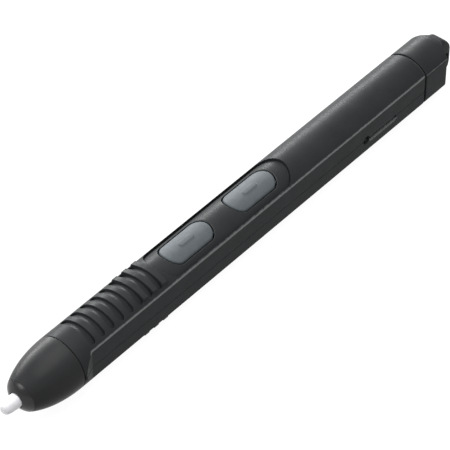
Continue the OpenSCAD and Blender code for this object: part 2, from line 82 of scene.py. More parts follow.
NOSE = on_axis("nose_cone")
GUIDE = on_axis("nib_guide")
NIB = on_axis("nib")
CAP = on_axis("end_cap")
PANEL = on_axis("button_panel")
BUTTONS = {name: on_axis(name) for name in ("front_button", "rear_button")}
SPRING = on_axis("return_spring")
COIL = on_axis("coil_winding")
CHIP = on_axis("control_chip")
GASKET = on_axis("cap_gasket")
BODY_R = (CAP[1][2] - CAP[0][2]) / 2
HALF_FLAT = (CAP[1][1] - CAP[0][1]) / 2
BARREL_END = on_axis("upper_shell")[1][0]
NECK_FRONT = on_axis("upper_shell")[0][0]
SPLIT_Z = on_axis("upper_shell")[0][2]
FLAT_ANGLE = math.asin(HALF_FLAT / BODY_R)
PANEL_X = (PANEL[0][0] + PANEL[1][0]) / 2
PANEL_R = PANEL[1][2]


def to_table(points):
    """Millimetres on the pen axis to metres in the table frame."""
    return (np.asarray(points, float) + JOINT) * MM


# ---------- sizes and colours that a user may change ----------

def length(name, description, millimetres):
    return FloatProperty(name=name, description=description, default=millimetres * MM,
                         unit="LENGTH", precision=5)


def tint(name, description, rgb):
    return FloatVectorProperty(name=name, description=description, default=rgb,
                               size=3, min=0, max=1, subtype="COLOR")


class PenSizes(bpy.types.PropertyGroup):
    grip_start: length("Grip start", "First groove, behind the nose joint", 3.95)
    groove_pitch: length("Groove pitch", "Distance from one groove to the next", 2.66)
    groove_width: length("Groove width", "Width of one groove", 1.32)
    groove_depth: length("Groove depth", "Depth at a groove's tail side", 0.55)
    groove_count: IntProperty(name="Grooves", description="Number of finger grooves", default=8, min=1)
    ridge_count: IntProperty(name="Ridges", description="Number of raised ridges", default=3, min=0)
    grip_reach: length("Grip reach", "Reach of grooves and ridges to each side", 4.15)
    ramp_start: length("Ramp start", "Where the side flats begin", 0.5)
    ramp_end: length("Ramp end", "Where the side flats reach full depth", 3.2)
    panel_line: length("Panel line", "Gap around the button panel", 0.06)
    panel_end: length("Panel end", "Length of the panel's rounded ends", 3.7)
    panel_thick: length("Panel thickness", "Thickness of the button panel", 0.6)
    window_inset: length("Window inset", "Ledge between side flat and window", 1.25)
    button_length: length("Button length", "Length of a button cap", 12.4)
    button_width: length("Button width", "Width of a button cap", 5.76)
    button_end: length("Button end", "Length of a button's rounded ends", 2.4)
    button_gap: length("Button gap", "Gap around a button cap", 0.3)
    bar_length: length("Bar length", "Length of the raised bar on a button", 3.9)
    bar_width: length("Bar width", "Width of the raised bar on a button", 1.26)
    bar_height: length("Bar height", "Height of the raised bar on a button", 0.15)
    tail_reach: length("Tail reach", "How far the tail reaches past the end cap's shoulders", 5.45)
    eye_thick: length("Eye thickness", "Thickness of the tether eye between its scoops", 4.0)
    tether_radius: length("Tether hole radius", "Radius of the tether hole", 1.15)


class PenColours(bpy.types.PropertyGroup):
    body: tint("Body", "Charcoal plastic of both shells", (0.0185, 0.0197, 0.0205))
    nose: tint("Nose", "Charcoal plastic of the nose cone", (0.0185, 0.0190, 0.0195))
    button: tint("Buttons", "Blue-grey of the two buttons", (0.060, 0.0685, 0.0745))
    nib: tint("Nib", "White of the nib", (0.54, 0.54, 0.56))
    rubber: tint("Rubber", "Black of seals and membrane", (0.008, 0.008, 0.008))
    board: tint("Circuit board", "Green solder mask", (0.015, 0.12, 0.06))
    copper: tint("Copper", "Lacquered copper wire", (0.6, 0.24, 0.09))
    light_plastic: tint("Inner plastic", "Natural plastic of the inner tubes", (0.58, 0.57, 0.5))


class PenStage(bpy.types.PropertyGroup):
    turn: FloatProperty(name="Turn", description="Camera's turn around the pen, from straight on at its side",
                        default=math.radians(-49.44), subtype="ANGLE")
    rise: FloatProperty(name="Rise", description="Camera's height angle",
                        default=math.radians(44.59), subtype="ANGLE")
    distance: length("Distance", "Camera's distance from the nose joint", 511.9)
    aside: length("Aside", "How far the camera stands to its right", 30.46)
    up: length("Up", "How far the camera stands towards its top", 25.678)
    lens: FloatProperty(name="Lens", description="Focal length for a 36 mm sensor",
                        default=219.35, unit="CAMERA")
    floor: tint("Floor", "Colour of the table top", (0.05, 0.05, 0.05))


# ---------- finishes ----------

class Finish:
    """A node material that is put together step by step."""

    def __init__(self, name, colour, roughness, **values):
        self.material = bpy.data.materials.new(name)
        self.material.use_nodes = True
        self.material.diffuse_color = (*colour, 1)
        self.tree = self.material.node_tree
        self.shader = self.tree.nodes["Principled BSDF"]
        self.put(self.shader, Base_Color=(*colour, 1), Roughness=roughness, **values)
        self.colour, self.roughness = colour, roughness
        self.place = self.add("ShaderNodeTexCoord").outputs["Object"]
        self.shade = None

    def put(self, node, **values):
        """Sets sockets by name; an underscore stands for a space."""
        for name, value in values.items():
            node.inputs[name.replace("_", " ")].default_value = value

    def add(self, kind, **settings):
        node = self.tree.nodes.new(kind)
        for key, value in settings.items():
            setattr(node, key, value)
        return node

    def join(self, source, node, socket):
        self.tree.links.new(source, node.inputs[socket])

    def noise(self, grain_mm, detail=3.0, stretch=None):
        """Noise whose grains are about that many millimetres across."""
        place = self.place
        if stretch:
            mapping = self.add("ShaderNodeMapping")
            self.put(mapping, Scale=stretch)
            self.join(place, mapping, "Vector")
            place = mapping.outputs["Vector"]
        node = self.add("ShaderNodeTexNoise")
        self.put(node, Scale=1 / (grain_mm * MM), Detail=detail)
        self.join(place, node, "Vector")
        return node.outputs["Fac"]

    def mapped(self, source, low, high, start=0.3, stop=0.7):
        node = self.add("ShaderNodeMapRange")
        self.put(node, From_Min=start, From_Max=stop, To_Min=low, To_Max=high)
        self.join(source, node, "Value")
        return node.outputs["Result"]

    def vary_colour(self, source, other, share_low=0.0, share_high=1.0):
        """Mixes towards another colour where the source is high."""
        node = self.add("ShaderNodeMix", data_type="RGBA")
        node.inputs[7].default_value = (*other, 1)
        if self.shade is None:
            node.inputs[6].default_value = (*self.colour, 1)
        else:
            self.join(self.shade, node, 6)
        self.join(self.mapped(source, share_low, share_high), node, 0)
        self.shade = node.outputs[2]
        self.join(self.shade, self.shader, "Base Color")

    def vary_roughness(self, source, spread):
        low, high = self.roughness - spread, self.roughness + spread
        self.join(self.mapped(source, low, high), self.shader, "Roughness")

    def emboss(self, source, height_mm):
        """Adds relief of that real height."""
        node = self.add("ShaderNodeBump")
        self.put(node, Strength=1.0, Distance=height_mm * MM)
        self.join(source, node, "Height")
        self.join(node.outputs["Normal"], self.shader, "Normal")

    def weathered(self, tone, sheen, relief, share=1.0):
        """Mottled colour, uneven sheen and fine relief; each has its noise and its amount."""
        (grain, (times, plus)), (spots, spread), (bumps, height) = tone, sheen, relief
        self.vary_colour(self.noise(*grain), tuple(c * times + plus for c in self.colour), 0.0, share)
        self.vary_roughness(self.noise(*spots), spread)
        self.emboss(self.noise(*bumps), height)
        return self.material

    def wear(self, other, share):
        """Paints the edges towards another, paler colour as a painted highlight, as far as the piece's edge
        attribute says.
        """
        edge = self.add("ShaderNodeAttribute", attribute_name="edge_wear").outputs["Fac"]
        spots = self.mapped(self.noise(0.7), 0.65, 1.0)
        product = self.add("ShaderNodeMath", operation="MULTIPLY")
        self.join(edge, product, 0)
        self.join(spots, product, 1)
        self.vary_colour(product.outputs[0], other, 0.0, share)


def moulded_plastic(name, colour, roughness=0.38, relief=0.004, specular=0.03, wear=0.8):
    """Satin spark-eroded texture of a moulded outer piece, with edges painted paler as a painted highlight.
    """
    finish = Finish(name, colour, roughness, Specular_IOR_Level=specular)
    finish.vary_colour(finish.noise(5.0), tuple(c * 1.25 for c in colour), 0.0, 0.6)
    # Edges painted paler: a painted highlight standing in for light on rounded edges.
    finish.wear(tuple(c * 2.4 + 0.09 for c in colour), wear)
    finish.vary_roughness(finish.noise(2.2, 4.0), 0.04)
    finish.emboss(finish.noise(0.11, 2.0), relief)
    return finish.material


def soft_rubber(name, colour, roughness=0.62, specular=0.35):
    """Matte rubber with a fine grain and a slightly dusty tone."""
    finish = Finish(name, colour, roughness, Specular_IOR_Level=specular)
    return finish.weathered(((1.4,), (1.12, 0.002)), ((0.6,), 0.05), ((0.08, 2.0), 0.003))


def nib_plastic(name, colour):
    """Translucent white acetal with a faintly mottled tone."""
    finish = Finish(name, colour, 0.38, Subsurface_Weight=0.25, Subsurface_Radius=(0.6, 0.6, 0.7),
                    Subsurface_Scale=0.0006)
    return finish.weathered(((0.9,), (0.9, 0)), ((0.4,), 0.06), ((0.15, 3.0, (0.2, 1, 1)), 0.002), 0.5)


def smooth_plastic(name, colour, roughness=0.3):
    """Plain moulded inner piece with faint flow marks."""
    finish = Finish(name, colour, roughness)
    return finish.weathered(((3.0, 2.0, (0.3, 1, 1)), (0.86, 0)), ((0.8,), 0.05), ((0.3,), 0.002))


def metal(name, colour, roughness):
    """Drawn or plated metal with fine lines along the piece."""
    finish = Finish(name, colour, roughness, Metallic=1.0)
    return finish.weathered(((0.9,), (0.8, 0)), ((0.4,), 0.08), ((0.12, 2.0, (0.05, 1, 1)), 0.002))


def ceramic(name, colour, roughness=0.55):
    """Sintered body with tiny pores."""
    finish = Finish(name, colour, roughness)
    return finish.weathered(((0.35,), (1.35, 0)), ((0.2,), 0.08), ((0.09, 4.0), 0.004))


def solder_mask(name, colour):
    """Glossy lacquer with copper tracks that show as paler lines."""
    finish = Finish(name, colour, 0.28)
    tracks = finish.add("ShaderNodeTexWave", bands_direction="Y")
    finish.put(tracks, Scale=0.35 / MM, Distortion=1.5, Detail=0.0)
    finish.join(finish.place, tracks, "Vector")
    lines = finish.mapped(tracks.outputs["Fac"], 0, 1, 0.7, 0.9)
    finish.vary_colour(lines, (0.05, 0.24, 0.11), 0.0, 0.8)
    finish.vary_roughness(finish.noise(0.8), 0.05)
    finish.emboss(tracks.outputs["Fac"], 0.01)
    return finish.material


# ---------- mesh tools ----------

def linked(name, data):
    """A new object with that data, in the scene."""
    obj = bpy.data.objects.new(name, data)
    bpy.context.scene.collection.objects.link(obj)
    return obj


# Stores, per point, how strongly a piece's edges are painted paler as a painted highlight.
def set_wear(mesh, wear):
    attribute = mesh.attributes.new("edge_wear", "FLOAT", "POINT")
    attribute.data.foreach_set("value", np.asarray(wear, np.float32))


def new_piece(name, points, faces, material, normals=None, sharp=None, wear=None):
    """A mesh object with its place in its mesh; normals are one per face corner."""
    mesh = bpy.data.meshes.new(name)
    mesh.from_pydata(to_table(points).tolist(), [], [list(map(int, f)) for f in faces])
    mesh.materials.append(material)
    mesh.shade_smooth()
    if wear is not None:
        set_wear(mesh, wear)
    if normals is not None:
        mesh.normals_split_custom_set([tuple(n) for n in normals])
    elif sharp is not None:
        mesh.set_sharp_from_angle(angle=math.radians(sharp))
    return linked(name, mesh)


def harvest(work):
    """Points and faces of a bmesh, which is freed."""
    work.verts.index_update()
    points = [v.co[:] for v in work.verts]
    faces = [[v.index for v in f.verts] for f in work.faces]
    work.free()
    return points, faces


def ellipse_end(l, w, end, n=26):
    """Flat outline with straight sides and half-ellipse ends, anticlockwise from the lower right."""
    a = np.linspace(-math.pi / 2, math.pi / 2, n)
    right = np.stack([l / 2 - end + end * np.cos(a), w / 2 * np.sin(a)], 1)
    return np.concatenate([right, -right])


def resampled(outline, step):
    """The closed outline with points no further apart than step."""
    out = []
    for a, b in zip(outline, np.roll(outline, -1, 0)):
        n = max(1, int(math.ceil(np.linalg.norm(b - a) / step)))
        out += [a + (b - a) * i / n for i in range(n)]
    return np.array(out)


def oval_distance(x, y, l, w, end):
    """Distance outside (+) or inside (-) an ellipse_end outline."""
    side = np.abs(y) - w / 2
    dx = np.maximum(np.abs(x) - (l / 2 - end), 0)
    f = np.sqrt((dx / end) ** 2 + (y / (w / 2)) ** 2 + 1e-12)
    slope = np.sqrt((dx / end ** 2) ** 2 + (y / (w / 2) ** 2) ** 2 + 1e-12) / f
    return np.where(dx > 0, (f - 1) / slope, side)


def slot_distance(x, y, half, r):
    """Distance from a slot along y with round ends of radius r and straight half-length half."""
    return np.hypot(x, np.maximum(np.abs(y) - half, 0)) - r


def box_distance(x, y, hx, hy):
    dx, dy = np.abs(x) - hx, np.abs(y) - hy
    return np.hypot(np.maximum(dx, 0), np.maximum(dy, 0)) + np.minimum(np.maximum(dx, dy), 0)


def inside(distance, soft=0.05):
    """1 inside and 0 outside, with a wall of width 2 * soft and rounded edges."""
    t = np.clip(0.5 - distance / (2 * soft), 0, 1)
    return t * t * (3 - 2 * t)


def rolled(distance, r):
    """How far a rounded edge of radius r has dropped at that distance inside the outline."""
    d = r - np.clip(-distance, 0, r)
    return r - np.sqrt(np.maximum(r * r - d * d, 0))


ROLL_STEPS = (0, 0.03, 0.12, 0.3, 0.6, 1.0)
WALL_STEPS = (-0.3, -0.12, -0.05, -0.03, 0, 0.03, 0.05, 0.12, 0.3)


def flat_mesh(points, lines, keep):
    """Triangles over flat points, with each (points, closed) line as edges.
    keep() says which triangles stay, by their middles."""
    verts = [Vector(p) for p in points]
    edges = []
    for line, closed in lines:
        start, n = len(verts), len(line)
        verts += [Vector(p) for p in line]
        edges += [(start + i, start + (i + 1) % n) for i in range(n if closed else n - 1)]
    flat, _, tris, *_ = geometry.delaunay_2d_cdt(verts, edges, [], 0, 1e-5, False)
    flat, tris = np.array([p[:] for p in flat]), np.array([t for t in tris if len(t) == 3])
    a, b, c = flat[tris[:, 0]], flat[tris[:, 1]], flat[tris[:, 2]]
    area = (b[:, 0] - a[:, 0]) * (c[:, 1] - a[:, 1]) - (b[:, 1] - a[:, 1]) * (c[:, 0] - a[:, 0])
    middle = (a + b + c) / 3
    stays = (np.abs(area) > 1e-9) & keep(middle[:, 0], middle[:, 1])
    tris = np.where((area[stays] < 0)[:, None], tris[stays][:, ::-1], tris[stays])
    used, tris = np.unique(tris, return_inverse=True)
    return flat[used], tris.reshape(-1, 3)


def unit(vectors):
    return vectors / (np.linalg.norm(vectors, axis=1)[:, None] + 1e-12)


def facing(surface, u, v, step):
    """Direction a surface faces, from how it moves over a small step each way."""
    return unit(np.cross(surface(u + step, v) - surface(u - step, v),
                         surface(u, v + step) - surface(u, v - step)))


def slab(flat, tris, outer, inner, step=0.04, flip=False):
    """Closed piece from flat triangles: outer() and inner() place both surfaces, and walls join
    every open edge. Returns points, faces and corner normals, which come from outer() and inner()."""
    u, v = flat[:, 0], flat[:, 1]
    top, bottom = outer(u, v), inner(u, v)
    normal, under = facing(outer, u, v, step), -facing(inner, u, v, step)
    n = len(flat)
    directed = np.concatenate([tris[:, [0, 1]], tris[:, [1, 2]], tris[:, [2, 0]]])
    seen = set(map(tuple, directed.tolist()))
    rim = np.array([e for e in directed.tolist() if (e[1], e[0]) not in seen])
    walls = np.stack([rim[:, 1], rim[:, 0], rim[:, 0] + n, rim[:, 1] + n], 1)
    points = np.concatenate([top, bottom])
    across = np.cross(points[walls[:, 1]] - points[walls[:, 0]], points[walls[:, 2]] - points[walls[:, 1]])
    side = np.zeros((2 * n, 3))
    for column in range(4):
        np.add.at(side, walls[:, column], across)
    across, side = unit(across), unit(side)
    wall_normals = side[walls]
    turned_away = (wall_normals * across[:, None, :]).sum(2) < 0.9
    wall_normals = np.where(turned_away[:, :, None], across[:, None, :], wall_normals)
    faces = tris.tolist() + (tris[:, ::-1] + n).tolist() + walls.tolist()
    corners = [normal[tris], under[tris[:, ::-1]], wall_normals]
    if flip:
        faces = [f[::-1] for f in faces]
        corners = [-part[:, ::-1] for part in corners]
    return points, faces, np.concatenate([part.reshape(-1, 3) for part in corners])


def grid(low_u, high_u, step_u, low_v, high_v, step_v):
    u = np.linspace(low_u, high_u, max(2, int(math.ceil((high_u - low_u) / step_u)) + 1))
    v = np.linspace(low_v, high_v, max(2, int(math.ceil((high_v - low_v) / step_v)) + 1))
    return np.stack(np.meshgrid(u, v, indexing="ij"), -1).reshape(-1, 2)


def rounded(points, radii, steps=5):
    """Closed outline with each corner rounded by its own radius."""
    out = []
    n = len(points)
    for i in range(n):
        p, r = np.array(points[i], float), radii[i]
        a, b = np.array(points[i - 1], float) - p, np.array(points[(i + 1) % n], float) - p
        la, lb = np.linalg.norm(a), np.linalg.norm(b)
        if r <= 0 or la < 1e-9 or lb < 1e-9:
            out.append(p)
            continue
        half = math.acos(max(-1, min(1, float(a @ b) / la / lb))) / 2
        if half < 0.02 or half > math.pi / 2 - 0.02:
            out.append(p)
            continue
        run = min(r / math.tan(half), la * 0.49, lb * 0.49)
        start, end = p + a / la * run, p + b / lb * run
        centre = p + (a / la + b / lb) / np.linalg.norm(a / la + b / lb) * run / math.cos(half)
        for k in range(steps + 1):
            t = k / steps
            q = start * (1 - t) + end * t - centre
            out.append(centre + q / np.linalg.norm(q) * np.linalg.norm(start - centre))
    return np.array(out)


def settled(points, faces):
    """The same points and faces in an order that does not depend on how the bevel found them."""
    order = sorted(range(len(points)), key=lambda i: [round(c, 4) for c in points[i]])
    rank = {old: new for new, old in enumerate(order)}
    faces = [[rank[i] for i in f] for f in faces]
    faces = sorted(f[f.index(min(f)):] + f[:f.index(min(f))] for f in faces)
    return [points[i] for i in order], faces


def turned(name, outline, material, steps=128, sharp=32):
    """Closed [x, radius] outline spun around the pen axis."""
    work = bmesh.new()
    rings = []
    around = [2 * math.pi * k / steps for k in range(steps)]
    for x, r in outline:
        angles = around if r >= 1e-6 else [0.0]
        rings.append([work.verts.new((x, r * math.sin(a), r * math.cos(a))) for a in angles])
    for a, b in zip(rings, rings[1:] + rings[:1]):
        for k in range(steps):
            corners = [a[k % len(a)], a[(k + 1) % len(a)], b[(k + 1) % len(b)], b[k % len(b)]]
            corners = list(dict.fromkeys(corners))
            if len(corners) > 2:
                work.faces.new(corners)
    bmesh.ops.recalc_face_normals(work, faces=work.faces)
    return new_piece(name, *harvest(work), material, sharp=sharp)


def joined(name, pieces):
    """One object from several, with the given name and the first one's finish."""
    work = bmesh.new()
    for piece in pieces:
        work.from_mesh(piece.data)
    mesh = bpy.data.meshes.new(name)
    work.to_mesh(mesh)
    work.free()
    for material in dict.fromkeys(m for piece in pieces for m in piece.data.materials):
        mesh.materials.append(material)
    for piece in pieces:
        bpy.data.objects.remove(piece)
    return linked(name, mesh)


def carried(obj, body):
    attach(obj, body)


def stands_for(obj, body, slot, *nodes):
    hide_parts(*nodes)
    carried(obj, body)


def dress(node, material):
    """Gives a CAD node its finish."""
    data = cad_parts[node].data
    data.materials.clear()
    data.materials.append(material)


# ---------- shape of the body ----------

REACH = 11.0    # half the width of the flat layout that a shell's surface is drawn on


class ShellSkin:
    """Surface of one body shell over a flat layout of x along the pen and w around it.
    w runs from one parting edge to the other; the side flats begin at half of REACH."""
    THICK = 1.1             # wall
    FLOOR_SHIFT = 0.25      # how much rounder the groove floors are than the body
    SHALLOW = 0.05          # depth of a groove at its nose side
    RIDGE_R = BODY_R * 1.5
    RIDGE_DROP = 0.05
    RECESS = 0.62           # depth of the panel's recess below the panel's top
    RIM = 0.12              # rounding of both end edges
    PARTING = 0.085         # depth of the parting line's groove
    NOTCH_DEPTH, DIMPLE_DEPTH, PIP_R, PIP_HIGH = 0.42, 0.55, 0.42, 0.3

    def __init__(self, sizes, upper):
        self.s = sizes
        self.upper = upper
        self.split = SPLIT_Z if upper else -SPLIT_Z
        self.edge_z = BODY_R * math.cos(FLAT_ANGLE)
        self.pitch = sizes.groove_pitch / MM
        self.groove_w = sizes.groove_width / MM
        self.first = sizes.grip_start / MM
        self.reach = sizes.grip_reach / MM
        self.panel = (PANEL[1][0] - PANEL[0][0] + 2 * sizes.panel_line / MM,
                      2 * (PANEL[1][1] + sizes.panel_line / MM), sizes.panel_end / MM)
        self.notch = (BARREL_END - 13.85, -0.72, 4.35, 0.75)   # x, z, half length, half width
        self.dimple = (BARREL_END - 19.3, -0.6, 0.95)          # x, z, radius

    def half_width(self, x):
        start, end = self.s.ramp_start / MM, self.s.ramp_end / MM
        t = np.clip((x - start) / (end - start), 0, 1)
        return BODY_R - (BODY_R - HALF_FLAT) * t

    def groove_x(self, i):
        return self.first + i * self.pitch

    def lay_out(self, y):
        """w of a point on the round part at that y."""
        return REACH / 2 * np.arcsin(np.clip(y / BODY_R, -1, 1)) / FLAT_ANGLE

    def lay_out_flat(self, z):
        """w of a point on the near side flat at that z, measured on this shell's side."""
        return -REACH / 2 * (1 + (self.edge_z - z) / (self.edge_z - self.split))

    def base(self, x, w):
        v = np.clip(w, -REACH * 1.02, REACH * 1.02) / REACH
        half = self.half_width(x)
        edge = np.arcsin(half / BODY_R)
        angle = np.clip(v * 2, -1, 1) * edge
        y, z = BODY_R * np.sin(angle), BODY_R * np.cos(angle)
        down = np.maximum(np.abs(v) - 0.5, 0) * 2
        z = z - down * (BODY_R * np.cos(edge) - self.split)
        y = np.where(down > 0, np.sign(v) * np.minimum(half, np.sqrt(np.maximum(BODY_R ** 2 - z ** 2, 0))), y)
        return y, z

    def outer(self, x, w):
        y, z = self.base(x, w)
        on_top = np.abs(w) < REACH / 2
        ground = z.copy()
        s = self.s
        level = z.copy()
        for i in range(s.groove_count - s.ridge_count, s.groove_count):
            low, high = self.groove_x(i) + self.groove_w, self.groove_x(i + 1)
            mask = inside(box_distance(x - (low + high) / 2, y, (high - low) / 2, self.reach), 0.07)
            top = np.sqrt(np.maximum(self.RIDGE_R ** 2 - y ** 2, 0)) - self.RIDGE_R + BODY_R - self.RIDGE_DROP
            level = level + (np.maximum(top, ground) - ground) * mask
        for i in range(s.groove_count):
            low = self.groove_x(i)
            mask = inside(slot_distance(x - low - self.groove_w / 2, y, self.reach - self.groove_w / 2,
                                        self.groove_w / 2), 0.05)
            along = np.clip((x - low) / self.groove_w, 0, 1)
            r = BODY_R - self.FLOOR_SHIFT - self.SHALLOW - (s.groove_depth / MM - self.SHALLOW) * along
            floor = self.FLOOR_SHIFT + np.sqrt(np.maximum(r ** 2 - y ** 2, 0))
            level = level - np.maximum(ground - floor, 0) * mask - (level - ground) * mask
        if self.upper:
            mask = inside(oval_distance(x - PANEL_X, y, *self.panel), 0.05)
            floor = np.sqrt(np.maximum((PANEL_R - self.RECESS) ** 2 - y ** 2, 0))
            level = level - np.maximum(ground - floor, 0) * mask
        z = np.where(on_top, level, z)
        y = y - np.sign(w) * self.side_relief(x, z, w)
        edge = rolled(-np.minimum(x, BARREL_END - x), self.RIM)
        shrink = 1 - edge / BODY_R
        return np.stack([x, y * shrink, (z if self.upper else -z) * shrink], -1)

    def side_relief(self, x, z, w):
        """How deep the near flat's notch and dimple and the parting line are cut."""
        past_flat = np.abs(w) > REACH / 2
        depth = np.maximum(self.PARTING - np.abs(z - self.split), 0) * past_flat
        real_z = z if self.upper else -z
        x0, z0, half, r = self.notch
        ramp = np.clip((z0 + r + 0.1 - real_z) / (2 * r + 0.1), 0, 1)
        notch = inside(slot_distance(real_z - z0, x - x0, half - r, r), 0.04) * ramp * self.NOTCH_DEPTH
        x1, z1, ring = self.dimple
        away = np.hypot(x - x1, real_z - z1)
        dimple = (inside(away - ring, 0.06) * self.DIMPLE_DEPTH
                  - inside(away - self.PIP_R, 0.08) * self.PIP_HIGH)
        near = past_flat & (w < 0)
        return np.maximum(depth, np.where(near, np.maximum(notch, dimple), 0))

    def inner(self, x, w):
        """Inside of the wall: the same section, further in by its thickness."""
        y, z = self.base(x, w)
        k = 1 - self.THICK / np.hypot(y, z)
        limit = HALF_FLAT - self.THICK
        z = np.where(z > 1, z * k, z)
        return np.stack([x, np.clip(y * k, -limit, limit), z if self.upper else -z], -1)

    def window(self):
        """Half length and half width of the opening under the panel."""
        return (self.panel[0] - 3.4) / 2, HALF_FLAT - self.s.window_inset / MM

    def keep(self, x, w):
        y, _ = self.base(x, w)
        whole = (np.abs(w) <= REACH) & (x >= 0) & (x <= BARREL_END)
        if not self.upper:
            return whole
        l, h = self.window()
        hole = (np.abs(x - PANEL_X) < l) & (np.abs(y) < h) & (np.abs(w) < REACH / 2)
        return whole & ~hole

    def plan(self, outline):
        """Outline in x and y, laid out flat."""
        return np.stack([outline[:, 0], self.lay_out(outline[:, 1])], 1)

    def lines(self):
        out = []
        for i in range(self.s.groove_count):
            for o in (-0.5, -0.3) + WALL_STEPS[1:-1]:
                r = self.groove_w / 2 + o
                slot = resampled(ellipse_end(2 * (self.reach + o), 2 * r, r, 16)[:, ::-1], 0.3)
                out.append((self.plan(slot + [self.groove_x(i) + self.groove_w / 2, 0]), True))
        for i in range(self.s.groove_count - self.s.ridge_count, self.s.groove_count):
            low, high = self.groove_x(i) + self.groove_w, self.groove_x(i + 1)
            for o in (-0.3, -0.12, -0.07, -0.035, 0, 0.035, 0.07, 0.12):
                hx, hy = (high - low) / 2 + o, self.reach + o
                box = np.array([[-hx, -hy], [hx, -hy], [hx, hy], [-hx, hy]]) + [(low + high) / 2, 0]
                out.append((self.plan(resampled(box, 0.3)), True))
        if self.upper:
            l, w, end = self.panel
            for o in WALL_STEPS:
                outline = resampled(ellipse_end(l + 2 * o, w + 2 * o, end + o), 0.5) + [PANEL_X, 0]
                out.append((self.plan(outline), True))
            l, h = self.window()
            hole = np.array([[-l, -h], [l, -h], [l, h], [-l, h]]) + [PANEL_X, 0]
            out.append((self.plan(resampled(hole, 0.6)), True))
        xs = np.arange(0, BARREL_END + 0.5, 0.8).clip(0, BARREL_END)
        for w in (0, 0.06, 0.2):
            for side in (-1, 1):
                for sign in (-1, 1):
                    row = np.full(len(xs), side * (REACH / 2 + sign * w))
                    out.append((np.stack([xs, row], 1), False))
        for w in (0.055, 0.115, 0.2):
            for side in (-1, 1):
                out.append((np.stack([xs, np.full(len(xs), side * (REACH - w))], 1), False))
        out += self.near_flat_lines()
        ends = np.array([[0, -REACH], [BARREL_END, -REACH], [BARREL_END, REACH], [0, REACH]])
        out.append((resampled(ends, 0.4), True))
        return out

    def near_flat_lines(self):
        sign = 1 if self.upper else -1
        out = []
        x0, z0, half, r = self.notch
        for o in (-0.2, -0.06, -0.03, 0, 0.03, 0.06, 0.15):
            slot = resampled(ellipse_end(2 * (half + o), 2 * (r + o), r + o, 14), 0.4) + [x0, z0]
            out.append((np.stack([slot[:, 0], self.lay_out_flat(sign * slot[:, 1])], 1), True))
        x1, z1, ring = self.dimple
        a = np.linspace(0, 2 * math.pi, 40, endpoint=False)
        around_pip = (0.15, 0.34, 0.38, 0.42, 0.46, 0.5, 0.7)
        for radius in (*around_pip, *(ring + o for o in (-0.06, -0.03, 0, 0.03, 0.06, 0.15))):
            side_z = self.lay_out_flat(sign * (z1 + radius * np.sin(a)))
            out.append((np.stack([x1 + radius * np.cos(a), side_z], 1), True))
        return out

    def points(self):
        base = grid(0, BARREL_END, 0.8, -REACH, REACH, 0.36)
        fine = grid(0, 4, 0.2, -REACH, REACH, 0.36)
        ends = np.concatenate([grid(x, x + 1e-4, 1, -REACH, REACH, 0.36)
                               for x in (0.01, 0.03, 0.06, 0.12, 0.25)])
        tail = ends * [-1, 1] + [BARREL_END, 0]
        cloud = np.concatenate([base, fine, ends, tail])
        y, z = self.base(cloud[:, 0], cloud[:, 1])
        x = cloud[:, 0]
        clear = np.ones(len(cloud), bool)
        for i in range(self.s.groove_count):
            mid = self.groove_x(i) + self.groove_w / 2
            d = slot_distance(x - mid, y, self.reach - self.groove_w / 2, self.groove_w / 2)
            clear &= ~((np.abs(d) < 0.16) & (z > 0))
        if self.upper:
            d = oval_distance(x - PANEL_X, y, *self.panel)
            clear &= ~((np.abs(d) < 0.35) & (z > 0))
        return cloud[clear]

    def build(self, name, material):
        flat, tris = flat_mesh(self.points(), self.lines(), self.keep)
        points, faces, corners = slab(flat, tris, self.outer, self.inner, 0.04, not self.upper)
        u, w = flat[:, 0], flat[:, 1]
        # Painted highlight on the outer surface only; the inner surface gets none.
        wear = np.concatenate([self.highlight_paint(u, w), np.zeros(len(flat))])
        return new_piece(name, points, faces, material, corners, wear=wear)

    def highlight_paint(self, u, w):
        """Where the surface is painted pale as a highlight: proud corners, the flats' edges and the notch's
        lower ledge.
        """
        here, step = self.outer(u, w), 0.2
        steps = ((step, 0), (-step, 0), (0, step), (0, -step))
        around = sum(self.outer(u + a, w + b) for a, b in steps) / 4
        outward = facing(self.outer, u, w, 0.04)
        bulge = ((here - around) * outward).sum(1) * (1 if self.upper else -1)
        # Painted highlight along the flats' upper edges, with a painted pale gradient above them.
        off_edge = REACH / 2 - np.abs(w)
        spread = np.where(off_edge > 0, 0.3, 0.1)
        flat_edge = np.exp(-(off_edge / spread) ** 2) + 0.22 * np.exp(-off_edge / 1.3) * (off_edge > 0)
        flat_edge *= u > self.s.ramp_end / MM - 0.6
        # Painted highlight on the notch's lower ledge, where light catches its upward-facing wall.
        x0, z0, half, r = self.notch
        height = here[:, 2] - z0
        ledge = np.minimum(4 * np.exp(-(slot_distance(height, u - x0, half - r, r) / 0.13) ** 2), 1.2)
        ledge *= (height < -0.4) & (w < -REACH / 2)
        # Proud corners get a faint painted highlight.
        return np.clip(bulge * 10 - 0.05, 0, 0.2) + flat_edge + ledge


# ---------- operators ----------

def sizes():
    return bpy.context.scene.pen_sizes


def colours():
    return bpy.context.scene.pen_colours


def shared(kind, name, *values, **settings):
    """A finish of that kind, made once and used by several pieces."""
    return bpy.data.materials.get(name) or kind(name, *values, **settings)


def body_finish():
    return shared(moulded_plastic, "charcoal_body_plastic", tuple(colours().body))


def rubber_finish():
    return shared(soft_rubber, "black_rubber", tuple(colours().rubber))


def copper_finish():
    return shared(metal, "lacquered_copper", tuple(colours().copper), 0.32)


